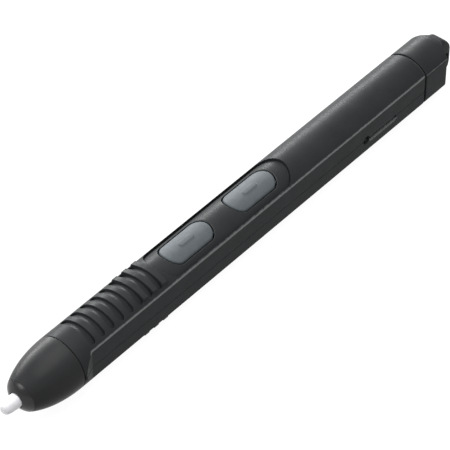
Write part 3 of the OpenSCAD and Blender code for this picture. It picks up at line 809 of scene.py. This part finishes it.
class PEN_OT_shells(bpy.types.Operator):
    """Both body shells with grip, panel recess, side flats, notch and parting line"""
    bl_idname = "pen.shells"
    bl_label = "Body shells"

    def execute(self, context):
        neck_r = NOSE_BORE_R - 0.05
        for name, upper in (("upper_shell", True), ("lower_shell", False)):
            skin = ShellSkin(sizes(), upper)
            shell = skin.build(name + "_skin", body_finish())
            stands_for(shell, "barrel", "body_plastic", name)
        neck = turned("body_neck", rounded(
            [(NECK_FRONT, neck_r), (0.5, neck_r), (0.5, neck_r - 0.9), (NECK_FRONT, neck_r - 0.9)],
            (0.15, 0, 0, 0.1)), body_finish(), 96)
        carried(neck, "barrel")
        return {"FINISHED"}


NOSE_BORE_R = (BODY_R - 1.4) + 0.05


def nose_outline():
    """Radius of the nose from the joint forward, as [x, r] points."""
    front_r = GUIDE[1][1] + 0.02
    long = -NOSE[0][0]
    reach = long / (1 - (front_r / BODY_R) ** (1 / 0.5965)) ** (1 / 2.09)
    xs = np.linspace(SEAM, long, 48)
    return [(-x, BODY_R * (1 - (x / reach) ** 2.09) ** 0.5965) for x in xs]


class PEN_OT_nose(bpy.types.Operator):
    """Nose cone and the bush that guides the nib"""
    bl_idname = "pen.nose"
    bl_label = "Nose cone and nib guide"

    def execute(self, context):
        finish = shared(moulded_plastic, "charcoal_nose_plastic", tuple(colours().nose), 0.36,
                        relief=0.003, specular=0.06)
        outer = nose_outline()
        seat = NIB[1][1] + 1.07
        front = NOSE[0][0]
        bore = [
            (front, seat), (front + 1.5, seat), (front + 1.5, 1.7), (front + 2.2, 1.7), (front + 2.2, 2.6),
            (front + 3.4, 3.6), (NECK_FRONT - 0.1, 3.6), (NECK_FRONT - 0.1, NOSE_BORE_R),
            (-SEAM, NOSE_BORE_R)]
        outline = outer + bore
        radii = [0.1] + [0] * (len(outer) - 2) + [0.22] + [0.1, 0.1, 0.05, 0.05, 0.1, 0.1, 0.1, 0.1, 0.1]
        cone = turned("nose_cone_skin", rounded(outline, radii), finish, 160, 40)
        stands_for(cone, "barrel", "nose_plastic", "nose_cone")
        low, high = GUIDE[0][0], GUIDE[1][0]
        lip_r, mouth, bluntness = GUIDE[1][1], NIB[1][1] + 0.16, 1.6
        a = np.linspace(0, math.pi / 2, 16)
        lip = [(front - (front - low) * math.sin(t) ** bluntness,
                mouth + (lip_r - mouth) * max(math.cos(t), 0) ** bluntness) for t in a]
        guide = lip + [(low + 0.12, NIB[1][1] + 0.12), (high, NIB[1][1] + 0.12), (high, 2.55), (front, 2.55)]
        satin = shared(moulded_plastic, "charcoal_guide_plastic", (0.018, 0.018, 0.019), 0.26,
                       relief=0.002, specular=0.25)
        bush = turned("nib_guide_skin", np.array(guide), satin, 128, 40)
        stands_for(bush, "barrel", "guide_plastic", "nib_guide")
        return {"FINISHED"}


class PEN_OT_nib(bpy.types.Operator):
    """White nib with its shank"""
    bl_idname = "pen.nib"
    bl_label = "Nib"

    def execute(self, context):
        tip, back, r = NIB[0][0], NIB[1][0], NIB[1][1]
        mouth = GUIDE[0][0]
        head_end = NOSE[0][0] + 1.3
        nose = [(tip + x, y) for x, y in ((0, 0), (0.05, 0.58), (0.25, 0.93), (0.6, 1.17), (1.4, 1.34))]
        outline = nose + [(mouth - 0.8, r - 0.02), (mouth, r), (head_end, r), (head_end, 0.9),
                          (back - 0.4, 0.9), (back, 0.65), (back, 0)]
        radii = [0, 0.4, 0.6, 1.0, 2.0, 2.0, 0.3, 0.15, 0.1, 0.1, 0.1, 0]
        white = shared(nib_plastic, "white_nib_plastic", tuple(colours().nib))
        nib = turned("nib_point", rounded(outline, radii, 6), white, 96, 50)
        stands_for(nib, "nib", "nib_plastic", "nib")
        return {"FINISHED"}


class PEN_OT_panel(bpy.types.Operator):
    """Sunk panel around both buttons"""
    bl_idname = "pen.panel"
    bl_label = "Button panel"

    def execute(self, context):
        s = sizes()
        l, w, end = PANEL[1][0] - PANEL[0][0], 2 * PANEL[1][1], s.panel_end / MM
        gap = s.button_gap / MM
        hole = (s.button_length / MM + 2 * gap, s.button_width / MM + 2 * gap, s.button_end / MM + gap / 2)
        middles = [(b[0][0] + b[1][0]) / 2 for b in BUTTONS.values()]
        roll, lip, thick = 0.12, 0.16, s.panel_thick / MM

        def outer(x, y):
            drop = rolled(oval_distance(x - PANEL_X, y, l, w, end), roll)
            for m in middles:
                drop = np.maximum(drop, rolled(-oval_distance(x - m, y, *hole), lip))
            return np.stack([x, y, np.sqrt(PANEL_R ** 2 - np.clip(y, -5, 5) ** 2) - drop], -1)

        def inner(x, y):
            return np.stack([x, y, np.sqrt((PANEL_R - thick) ** 2 - np.clip(y, -4.8, 4.8) ** 2)], -1)

        def keep(x, y):
            stays = oval_distance(x - PANEL_X, y, l, w, end) < 0.002
            for m in middles:
                stays &= oval_distance(x - m, y, *hole) > -0.002
            return stays

        lines = []
        for share in ROLL_STEPS:
            o = share * roll
            rim = ellipse_end(l - 2 * o, w - 2 * o, end - o, 40)
            lines.append((resampled(rim, 0.5) + [PANEL_X, 0], True))
            o = share * lip
            for m in middles:
                opening = ellipse_end(hole[0] + 2 * o, hole[1] + 2 * o, hole[2] + o, 32)
                lines.append((resampled(opening, 0.4) + [m, 0], True))
        cloud = grid(PANEL[0][0], PANEL[1][0], 0.6, -w / 2, w / 2, 0.3)
        d = np.minimum.reduce([-oval_distance(cloud[:, 0] - PANEL_X, cloud[:, 1], l, w, end)]
                              + [oval_distance(cloud[:, 0] - m, cloud[:, 1], *hole) for m in middles])
        flat, tris = flat_mesh(cloud[d > 0.2], lines, keep)
        points, faces, corners = slab(flat, tris, outer, inner, 0.02)
        # Painted highlight around the button openings.
        off_rim = np.minimum.reduce([np.abs(oval_distance(flat[:, 0] - m, flat[:, 1], *hole))
                                     for m in middles])
        wear = np.concatenate([np.exp(-off_rim / 0.15), np.zeros(len(flat))])
        finish = shared(moulded_plastic, "charcoal_panel_plastic", tuple(colours().body), wear=0.3)
        panel = new_piece("button_panel_skin", points, faces, finish, corners, wear=wear)
        stands_for(panel, "barrel", "panel_plastic", "button_panel")
        return {"FINISHED"}


class PEN_OT_buttons(bpy.types.Operator):
    """Two button caps with raised bars, hidden tabs, posts and switch plungers"""
    bl_idname = "pen.buttons"
    bl_label = "Buttons"

    def execute(self, context):
        s = sizes()
        l, w, end = s.button_length / MM, s.button_width / MM, s.button_end / MM
        bar_l, bar_w, bar_h = s.bar_length / MM, s.bar_width / MM, s.bar_height / MM
        roll, curve, under = 0.32, 5.0, BODY_R - 2.4
        finish = shared(soft_rubber, "blue_grey_button_rubber", tuple(colours().button), 0.6, 0.08)
        pin = shared(smooth_plastic, "natural_pin_plastic", (0.65, 0.62, 0.55))
        for name, (low, high) in BUTTONS.items():
            m = (low[0] + high[0]) / 2
            top = high[2] - bar_h

            def outer(x, y):
                drop = rolled(oval_distance(x - m, y, l, w, end), roll)
                soft = 0.09 + 0.16 * np.clip(-2 * y / bar_w, 0, 1)
                raised = inside(slot_distance(y, x - m, (bar_l - bar_w) / 2, bar_w / 2), soft) * bar_h
                curved = np.sqrt(curve ** 2 - np.clip(y, -4.5, 4.5) ** 2) - curve
                return np.stack([x, y, top + curved - drop + raised], -1)

            def inner(x, y):
                return np.stack([x, y, np.full(len(x), under)], -1)

            def keep(x, y):
                return oval_distance(x - m, y, l, w, end) < 0.002

            lines = [(resampled(ellipse_end(l - 2 * o, w - 2 * o, end - o, 32), 0.4) + [m, 0], True)
                     for o in (share * roll for share in ROLL_STEPS)]
            for o in (-0.3, -0.09, -0.045, 0, 0.045, 0.09, 0.2):
                bar = ellipse_end(bar_l + 2 * o, bar_w + 2 * o, bar_w / 2 + o, 14)
                lines.append((resampled(bar, 0.3) + [m, 0], True))
            cloud = grid(m - l / 2, m + l / 2, 0.5, -w / 2, w / 2, 0.3)
            inner_part = oval_distance(cloud[:, 0] - m, cloud[:, 1], l, w, end) < -0.4
            to_bar = slot_distance(cloud[:, 1], cloud[:, 0] - m, (bar_l - bar_w) / 2, bar_w / 2)
            flat, tris = flat_mesh(cloud[inner_part & (np.abs(to_bar) > 0.12)], lines, keep)
            points, faces, corners = slab(flat, tris, outer, inner, 0.02)
            cap = new_piece(name + "_cap", points, faces, finish, corners)
            tabs = self.tabs(name, low, high, m, under, finish)
            stands_for(cap, name, "button_rubber", name)
            carried(tabs, name)
            dress(name.replace("button", "plunger"), pin)
        return {"FINISHED"}

    def tabs(self, name, low, high, m, under, finish):
        """Plate with two end tabs and the post over the switch."""
        a, b, t, edge = high[0] - m, 2.0, 0.7, 0.12
        work = bmesh.new()
        bmesh.ops.create_cube(work, size=1)
        bmesh.ops.scale(work, verts=work.verts, vec=(2 * a, 2 * b, t))
        bmesh.ops.translate(work, verts=work.verts, vec=(m, 0, under + t / 2))
        bmesh.ops.bevel(work, geom=work.edges[:], offset=edge, segments=3, affect="EDGES", profile=0.5)
        bottom = low[2]
        post = bmesh.ops.create_cone(work, cap_ends=True, segments=48, radius1=0.8, radius2=0.8,
                                     depth=under + 0.2 - bottom)["verts"]
        bmesh.ops.translate(work, verts=post, vec=(m, 0, (under + 0.2 + bottom) / 2))
        ring = [e for e in work.edges if all(v in post and v.co.z < bottom + 0.01 for v in e.verts)]
        bmesh.ops.bevel(work, geom=ring, offset=0.1, segments=2, affect="EDGES", profile=0.5)
        return new_piece(name + "_tabs", *settled(*harvest(work)), finish, sharp=40)


class PEN_OT_end_cap(bpy.types.Operator):
    """End cap that narrows between two scoops to the tether eye, with its plug"""
    bl_idname = "pen.end_cap"
    bl_label = "End cap"

    def execute(self, context):
        s = sizes()
        start, tip = GASKET[1][0], CAP[1][0] - 0.004
        shoulder = CAP[1][0] - s.tail_reach / MM
        self.plan = self.half_plan(shoulder, tip, s.eye_thick / MM / 2)
        body = self.pierced(self.loft(start, shoulder, tip), tip - 2.25, s.tether_radius / MM)
        plug_r, front = BODY_R - 1.7, CAP[0][0]
        plug = turned("plug", rounded(
            [(front, plug_r), (start + 0.5, plug_r), (start + 0.5, 2.4), (front, 2.4)], (0.3, 0, 0, 0.2)),
            body_finish(), 96)
        for v in plug.data.vertices:
            limit = (HALF_FLAT - 1.2) * MM
            v.co.y = max(-limit, min(limit, v.co.y))
        stands_for(body, "barrel", "body_plastic", "end_cap")
        carried(plug, "barrel")
        return {"FINISHED"}

    def half_plan(self, shoulder, tip, eye):
        """Half width of the cap from above, at stations along the pen."""
        return np.array([
            (shoulder - 20, HALF_FLAT), (shoulder - 0.05, HALF_FLAT), (shoulder + 0.12, HALF_FLAT - 0.1),
            (shoulder + 0.3, HALF_FLAT - 0.55), (shoulder + 0.7, HALF_FLAT - 1.5),
            (shoulder + 1.1, eye + 0.52), (shoulder + 1.4, eye + 0.12), (shoulder + 1.65, eye),
            (tip - 0.9, eye - 0.02), (tip - 0.5, eye - 0.14),
            (tip - 0.2, eye - 0.45), (tip, eye - 1.0)])

    def section(self, x, shoulder, tip, angles):
        """Rounded meeting of the body's circle, the plan outline and the domed top and bottom."""
        wide = np.interp(x, self.plan[:, 0], self.plan[:, 1])
        rise = np.clip((x - shoulder + 0.5) / (tip - shoulder + 0.5), 0, 1)
        high = 1.033 * BODY_R * math.sqrt(1 - rise ** 2) if x > shoulder - 0.5 else 4 * BODY_R
        soft = np.interp(x, (shoulder, shoulder + 0.8, shoulder + 2), (60, 22, 9))
        limits = (np.full(len(angles), BODY_R), wide / np.maximum(np.abs(np.sin(angles)), 1e-6),
                  max(high, 0.15) / np.maximum(np.abs(np.cos(angles)), 1e-6))
        lowest = np.minimum.reduce(limits)
        r = lowest * sum((lowest / limit) ** soft for limit in limits) ** (-1 / soft)
        return np.stack([np.full(len(angles), x), r * np.sin(angles), r * np.cos(angles)], 1)

    def loft(self, start, shoulder, tip):
        edge = FLAT_ANGLE
        corners = [c + o for c in (edge, math.pi - edge, -edge, edge - math.pi)
                   for o in (-0.02, -0.008, 0, 0.008, 0.02)]
        even = [a for a in np.linspace(-math.pi, math.pi, 180, endpoint=False)
                if min(abs(a - c) for c in corners) > 0.012]
        angles = np.array(sorted(even + corners))
        mouth = self.section(start + 0.12, shoulder, tip, angles)
        rings = []
        for inset, ahead in ((1.6, 0.12), (0.12, 0.12), (0.05, 0.1), (0.012, 0.05)):
            ring = mouth * [1, 1 - inset / BODY_R, 1 - inset / BODY_R]
            ring[:, 0] -= ahead
            rings.append(ring)
        stations = np.concatenate([
            np.linspace(start + 0.12, shoulder - 0.6, 8), np.linspace(shoulder - 0.5, shoulder + 2.5, 25),
            shoulder - 0.5 + (tip - shoulder + 0.5) * np.sin(np.linspace(0.55, math.pi / 2, 16))])
        rings += [self.section(x, shoulder, tip, angles) for x in sorted(stations)]
        n = len(angles)
        points = np.concatenate(rings)
        faces = [[r * n + k, (r + 1) * n + k, (r + 1) * n + (k + 1) % n, r * n + (k + 1) % n]
                 for r in range(len(rings) - 1) for k in range(n)]
        faces += [list(range(n)), [(len(rings) - 1) * n + k for k in range(n - 1, -1, -1)]]
        work = bmesh.new()
        verts = [work.verts.new(p) for p in points]
        for face in faces:
            work.faces.new([verts[k] for k in face])
        bmesh.ops.recalc_face_normals(work, faces=work.faces)
        return new_piece("end_cap_skin", points, harvest(work)[1], body_finish(), sharp=24)

    def pierced(self, body, hole_x, r):
        """The cap with its tether hole, whose two mouths are rounded."""
        half, lip = BODY_R, 0.2
        out = sizes().eye_thick / MM / 2
        flare = [(out - lip + lip * math.sin(a), r + lip * (1 - math.cos(a)))
                 for a in np.linspace(0, math.pi / 2, 5)]
        side = [(-half, r + lip)] + [(-y, k) for y, k in reversed(flare)] + flare + [(half, r + lip)]
        n = 72
        points = [(hole_x + k * math.cos(2 * math.pi * i / n), y, k * math.sin(2 * math.pi * i / n))
                  for y, k in side for i in range(n)]
        faces = [[q * n + i, q * n + (i + 1) % n, (q + 1) * n + (i + 1) % n, (q + 1) * n + i]
                 for q in range(len(side) - 1) for i in range(n)]
        faces += [list(range(n - 1, -1, -1)), [(len(side) - 1) * n + i for i in range(n)]]
        cutter = new_piece("tether_cutter", points, [f[::-1] for f in faces], body_finish())
        cut = body.modifiers.new("tether_hole", "BOOLEAN")
        cut.operation, cut.solver, cut.object = "DIFFERENCE", "EXACT", cutter
        bpy.context.view_layer.update()
        mesh = bpy.data.meshes.new_from_object(body.evaluated_get(bpy.context.evaluated_depsgraph_get()))
        body.modifiers.remove(cut)
        body.data = mesh
        mesh.name = "end_cap_skin"
        # Painted highlight along the edges of the cap's flats.
        place = np.array([v.co[:] for v in mesh.vertices]) / MM - JOINT
        away = np.hypot(np.abs(place[:, 1]) - HALF_FLAT, np.abs(place[:, 2]) - BODY_R * math.cos(FLAT_ANGLE))
        set_wear(mesh, np.exp(-(away / 0.16) ** 2))
        bpy.data.objects.remove(cutter)
        mesh.shade_smooth()
        mesh.set_sharp_from_angle(angle=math.radians(28))
        return body


# ---------- node trees for what repeats ----------

class Growth:
    """A geometry node tree that is put together node by node and run for each set of values."""

    def __init__(self, name, material, **inputs):
        self.tree = bpy.data.node_groups.new(name, "GeometryNodeTree")
        self.material = material
        for title, value in inputs.items():
            kind = {int: "Int", float: "Float", tuple: "Vector"}[type(value)]
            socket = self.tree.interface.new_socket(title, in_out="INPUT", socket_type="NodeSocket" + kind)
            socket.default_value = value
        self.tree.interface.new_socket("Geometry", in_out="OUTPUT", socket_type="NodeSocketGeometry")
        self.given = self.tree.nodes.new("NodeGroupInput").outputs

    def node(self, kind, **sockets):
        """Adds a node and returns its first output; each socket gets a value or a link."""
        made = self.tree.nodes.new("GeometryNode" + kind)
        for name, value in sockets.items():
            socket = made.inputs[name.replace("_", " ")]
            if isinstance(value, bpy.types.NodeSocket):
                self.tree.links.new(value, socket)
            else:
                socket.default_value = value
        return made.outputs[0]

    def swept(self, loop, steps, **caps):
        """A round wire along a curve."""
        ring = self.node("CurvePrimitiveCircle", Resolution=steps, Radius=self.given["Wire"])
        return self.node("CurveToMesh", Curve=loop, Profile_Curve=ring, **caps)

    def row_of(self, shape):
        """Copies of a shape in a straight row."""
        g = self.given
        row = self.node("MeshLine", Count=g["Count"], Start_Location=g["Start"], Offset=g["Step"])
        return self.node("InstanceOnPoints", Points=row, Instance=shape)

    def close(self, source):
        """Ends the tree with real geometry, smooth faces and its finish."""
        smooth = self.node("SetShadeSmooth", Geometry=self.node("RealizeInstances", Geometry=source))
        paint = self.node("SetMaterial", Geometry=smooth, Material=self.material)
        self.tree.links.new(paint, self.tree.nodes.new("NodeGroupOutput").inputs[0])

    def grow(self, name, **values):
        """Runs the tree with these inputs and returns a plain mesh object."""
        host = linked(name + "_host", bpy.data.meshes.new(name + "_host"))
        modifier = host.modifiers.new("nodes", "NODES")
        modifier.node_group = self.tree
        for item in self.tree.interface.items_tree:
            if item.in_out == "INPUT" and item.name in values:
                modifier[item.identifier] = values[item.name]
        bpy.context.view_layer.update()
        mesh = bpy.data.meshes.new_from_object(host.evaluated_get(bpy.context.evaluated_depsgraph_get()))
        host.modifiers.remove(modifier)
        bpy.data.objects.remove(host)
        mesh.name = name
        mesh.materials.clear()
        mesh.materials.append(self.material)
        return linked(name, mesh)


QUARTER_TURN = (0, math.pi / 2, 0)    # brings a shape's z axis onto the pen's axis


class PEN_OT_spring(bpy.types.Operator):
    """Return spring behind the nib holder, coiled by a node tree"""
    bl_idname = "pen.spring"
    bl_label = "Return spring"

    def execute(self, context):
        wire, radius, turns, travel = 0.18, 1.6, 4.0, 0.42
        steel = shared(metal, "spring_steel", (0.55, 0.56, 0.57), 0.3)
        tree = Growth("coiled_spring", steel, Turns=turns, Radius=radius * MM, Wire=wire * MM,
                      Length=0.003, Place=(0.0, 0.0, 0.0))
        g = tree.given
        spiral = tree.node("CurveSpiral", Resolution=36, Rotations=g["Turns"], Start_Radius=g["Radius"],
                           End_Radius=g["Radius"], Height=g["Length"])
        sweep = tree.swept(spiral, 14, Fill_Caps=True)
        tree.close(tree.node("Transform", Geometry=sweep, Rotation=QUARTER_TURN, Translation=g["Place"]))
        room = SPRING[1][0] - SPRING[0][0]
        start = to_table([SPRING[0][0] + wire + 0.02, 0, 0])
        spring = tree.grow("return_spring_coil", Turns=turns, Radius=radius * MM, Wire=wire * MM,
                           Length=(room - 2 * wire - 0.04) * MM, Place=tuple(start))
        stands_for(spring, "barrel", "spring_steel", "return_spring")
        anchor = tuple(to_table([SPRING[1][0], 0, 0]))
        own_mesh(spring)
        return {"FINISHED"}


class PEN_OT_coil(bpy.types.Operator):
    """Coil winding made turn by turn by a node tree, with its core, leads and cushion"""
    bl_idname = "pen.coil"
    bl_label = "Coil"

    def execute(self, context):
        copper = copper_finish()
        low, high = COIL
        wire = 0.125
        turns = int((high[0] - low[0]) / (2 * wire))
        tree = Growth("wound_turns", copper, Count=30, Radius=0.0026, Wire=wire * MM,
                      Start=(0.0, 0.0, 0.0), Step=(0.00025, 0.0, 0.0))
        loop = tree.node("CurvePrimitiveCircle", Resolution=40, Radius=tree.given["Radius"])
        sweep = tree.swept(loop, 8)
        tree.close(tree.row_of(tree.node("Transform", Geometry=sweep, Rotation=QUARTER_TURN)))
        start = tuple(to_table([low[0] + wire + 0.01, 0, 0]))
        step = ((high[0] - low[0] - 2 * wire - 0.02) / (turns - 1) * MM, 0.0, 0.0)
        layers = [
            tree.grow(f"winding_layer_{layer}", Count=turns, Radius=radius * MM, Wire=wire * MM,
                      Start=start, Step=step)
            for layer, radius in enumerate((high[1] - 3 * wire - 0.02, high[1] - wire))]
        winding = joined("coil_winding_turns", layers)
        stands_for(winding, "barrel", "copper_winding", "coil_winding")
        dress("coil_leads", copper)
        dress("ferrite_core", shared(ceramic, "sintered_ferrite", (0.045, 0.043, 0.046)))
        dress("core_cushion", shared(soft_rubber, "red_silicone", (0.3, 0.05, 0.04)))
        return {"FINISHED"}


class PEN_OT_chip(bpy.types.Operator):
    """Control chip with rows of legs made by a node tree"""
    bl_idname = "pen.chip"
    bl_label = "Control chip"

    def execute(self, context):
        tinned = shared(metal, "tinned_legs", (0.7, 0.7, 0.68), 0.35)
        epoxy = shared(smooth_plastic, "black_epoxy", (0.012, 0.012, 0.013), 0.5)
        dress("control_chip", epoxy)
        low, high = CHIP
        legs_a_side, pitch = 7, 0.5
        tree = Growth("chip_legs", tinned, Count=legs_a_side, Start=(0.0, 0.0, 0.0),
                      Step=(pitch * MM, 0.0, 0.0), Leg=(0.0002, 0.0003, 0.0003))
        tree.close(tree.row_of(tree.node("MeshCube", Size=tree.given["Leg"])))
        rows = []
        for side in (-1, 1):
            first = (low[0] + high[0]) / 2 - (legs_a_side - 1) / 2 * pitch
            start = to_table([first, side * (high[1] + 0.1), low[2] + 0.16])
            rows.append(tree.grow(f"legs_{side}", Count=legs_a_side, Start=tuple(start),
                                  Step=(pitch * MM, 0.0, 0.0), Leg=(0.22 * MM, 0.34 * MM, 0.3 * MM)))
        legs = joined("chip_leg_rows", rows)
        legs.data.shade_flat()
        carried(legs, "barrel")
        return {"FINISHED"}


class PEN_OT_inside(bpy.types.Operator):
    """Finishes of the inner pieces that keep their CAD shape"""
    bl_idname = "pen.inside"
    bl_label = "Inner pieces"

    def execute(self, context):
        rubber = rubber_finish()
        natural = shared(smooth_plastic, "natural_tube_plastic", tuple(colours().light_plastic))
        dark = shared(smooth_plastic, "dark_inner_plastic", (0.03, 0.032, 0.034), 0.4)
        for node in ("nose_oring", "button_membrane", "cap_gasket"):
            dress(node, rubber)
        for node in ("front_switch", "rear_switch", "inner_frame", "pressure_sensor"):
            dress(node, dark)
        for node in ("sensor_housing", "nib_holder"):
            dress(node, natural)
        dress("circuit_board", shared(solder_mask, "green_solder_mask", tuple(colours().board)))
        dress("chip_capacitors", shared(ceramic, "capacitor_ceramic", (0.42, 0.3, 0.17), 0.4))
        dress("board_screws", shared(metal, "zinc_plated_steel", (0.6, 0.61, 0.63), 0.28))
        return {"FINISHED"}


class PEN_OT_studio(bpy.types.Operator):
    """White table top, soft lights and the camera"""
    bl_idname = "pen.studio"
    bl_label = "Studio"

    def execute(self, context):
        stage = context.scene.pen_stage
        self.table(stage)
        self.light("softbox_behind", (190, 295, 92), (20, 0, 0), (460, 90), 28.0)
        self.light("softbox_left", (-260, 120, 240), (10, 0, 0), (200, 260), 6.0)
        self.light("softbox_above", (90, -10, 420), (45, 0, 0), (380, 300), 7.5)
        world = bpy.data.worlds.new("studio_white")
        world.use_nodes = True
        background = world.node_tree.nodes["Background"].inputs
        background["Color"].default_value = (1, 1, 1, 1)
        background["Strength"].default_value = 0.3
        context.scene.world = world
        context.scene.view_settings.view_transform = "Standard"
        self.camera(stage)
        return {"FINISHED"}

    def table(self, stage):
        r, n = 3.0, 96
        turns = [2 * math.pi * i / n for i in range(n)]
        points = [(0, 0, 0)] + [(r * math.cos(a), r * math.sin(a), 0) for a in turns]
        faces = [(0, i + 1, (i + 1) % n + 1) for i in range(n)]
        mesh = bpy.data.meshes.new("table_top")
        mesh.from_pydata(points, [], faces)
        finish = Finish("white_table", tuple(stage.floor), 0.9,
                        Emission_Color=(1, 1, 1, 1), Emission_Strength=0.96)
        finish.vary_colour(finish.noise(60.0), (0.045, 0.045, 0.045), 0.0, 0.5)
        mesh.materials.append(finish.material)
        linked("table_top", mesh)

    def light(self, name, at, towards, size, brightness):
        """Rectangular soft light; places and sizes in millimetres, brightness as emitted radiance."""
        data = bpy.data.lights.new(name, "AREA")
        data.shape = "RECTANGLE"
        data.size, data.size_y = size[0] * MM, size[1] * MM
        data.energy = brightness * math.pi * data.size * data.size_y
        place, aim = Vector(to_table(at)), Vector(to_table(towards))
        obj = linked(name, data)
        obj.location = place
        obj.rotation_euler = (aim - place).to_track_quat("-Z", "Y").to_euler()

    def camera(self, stage):
        a, e = stage.turn, stage.rise
        right = Vector((math.cos(a), math.sin(a), 0))
        back = Vector((math.sin(a) * math.cos(e), -math.cos(a) * math.cos(e), math.sin(e)))
        up = back.cross(right)
        place = Vector(to_table([0, 0, 0])) + stage.aside * right + stage.up * up + stage.distance * back
        data = bpy.data.cameras.new("studio_camera")
        data.lens = stage.lens
        data.sensor_width = 36
        data.clip_start, data.clip_end = 0.01, 20
        obj = linked("studio_camera", data)
        axes = Matrix((right, up, back)).transposed()
        obj.matrix_world = Matrix.Translation(place) @ axes.to_4x4()
        bpy.context.scene.camera = obj


class PEN_PT_panel(bpy.types.Panel):
    """Lists the pen's operators, sizes and colours"""
    bl_idname = "PEN_PT_panel"
    bl_label = "Digitizer pen"
    bl_space_type = "VIEW_3D"
    bl_region_type = "UI"
    bl_category = "Pen"

    def draw(self, context):
        for operator in OPERATORS:
            self.layout.operator(operator.bl_idname)
        for group in (context.scene.pen_sizes, context.scene.pen_colours, context.scene.pen_stage):
            box = self.layout.box()
            for name in group.bl_rna.properties.keys():
                if name not in ("rna_type", "name"):
                    box.prop(group, name)


GROUPS = {"pen_sizes": PenSizes, "pen_colours": PenColours, "pen_stage": PenStage}
OPERATORS = (PEN_OT_studio, PEN_OT_shells, PEN_OT_nose, PEN_OT_nib, PEN_OT_panel, PEN_OT_buttons,
             PEN_OT_end_cap, PEN_OT_spring, PEN_OT_coil, PEN_OT_chip, PEN_OT_inside)


def register():
    for cls in (*GROUPS.values(), *OPERATORS, PEN_PT_panel):
        bpy.utils.register_class(cls)
    for name, cls in GROUPS.items():
        setattr(bpy.types.Scene, name, PointerProperty(type=cls))


def unregister():
    for name in GROUPS:
        delattr(bpy.types.Scene, name)
    for cls in (PEN_PT_panel, *reversed(OPERATORS), *GROUPS.values()):
        bpy.utils.unregister_class(cls)


def main():
    register()
    for operator in OPERATORS:
        family, name = operator.bl_idname.split(".")
        getattr(getattr(bpy.ops, family), name)()


if __name__ == "__main__":
    main()
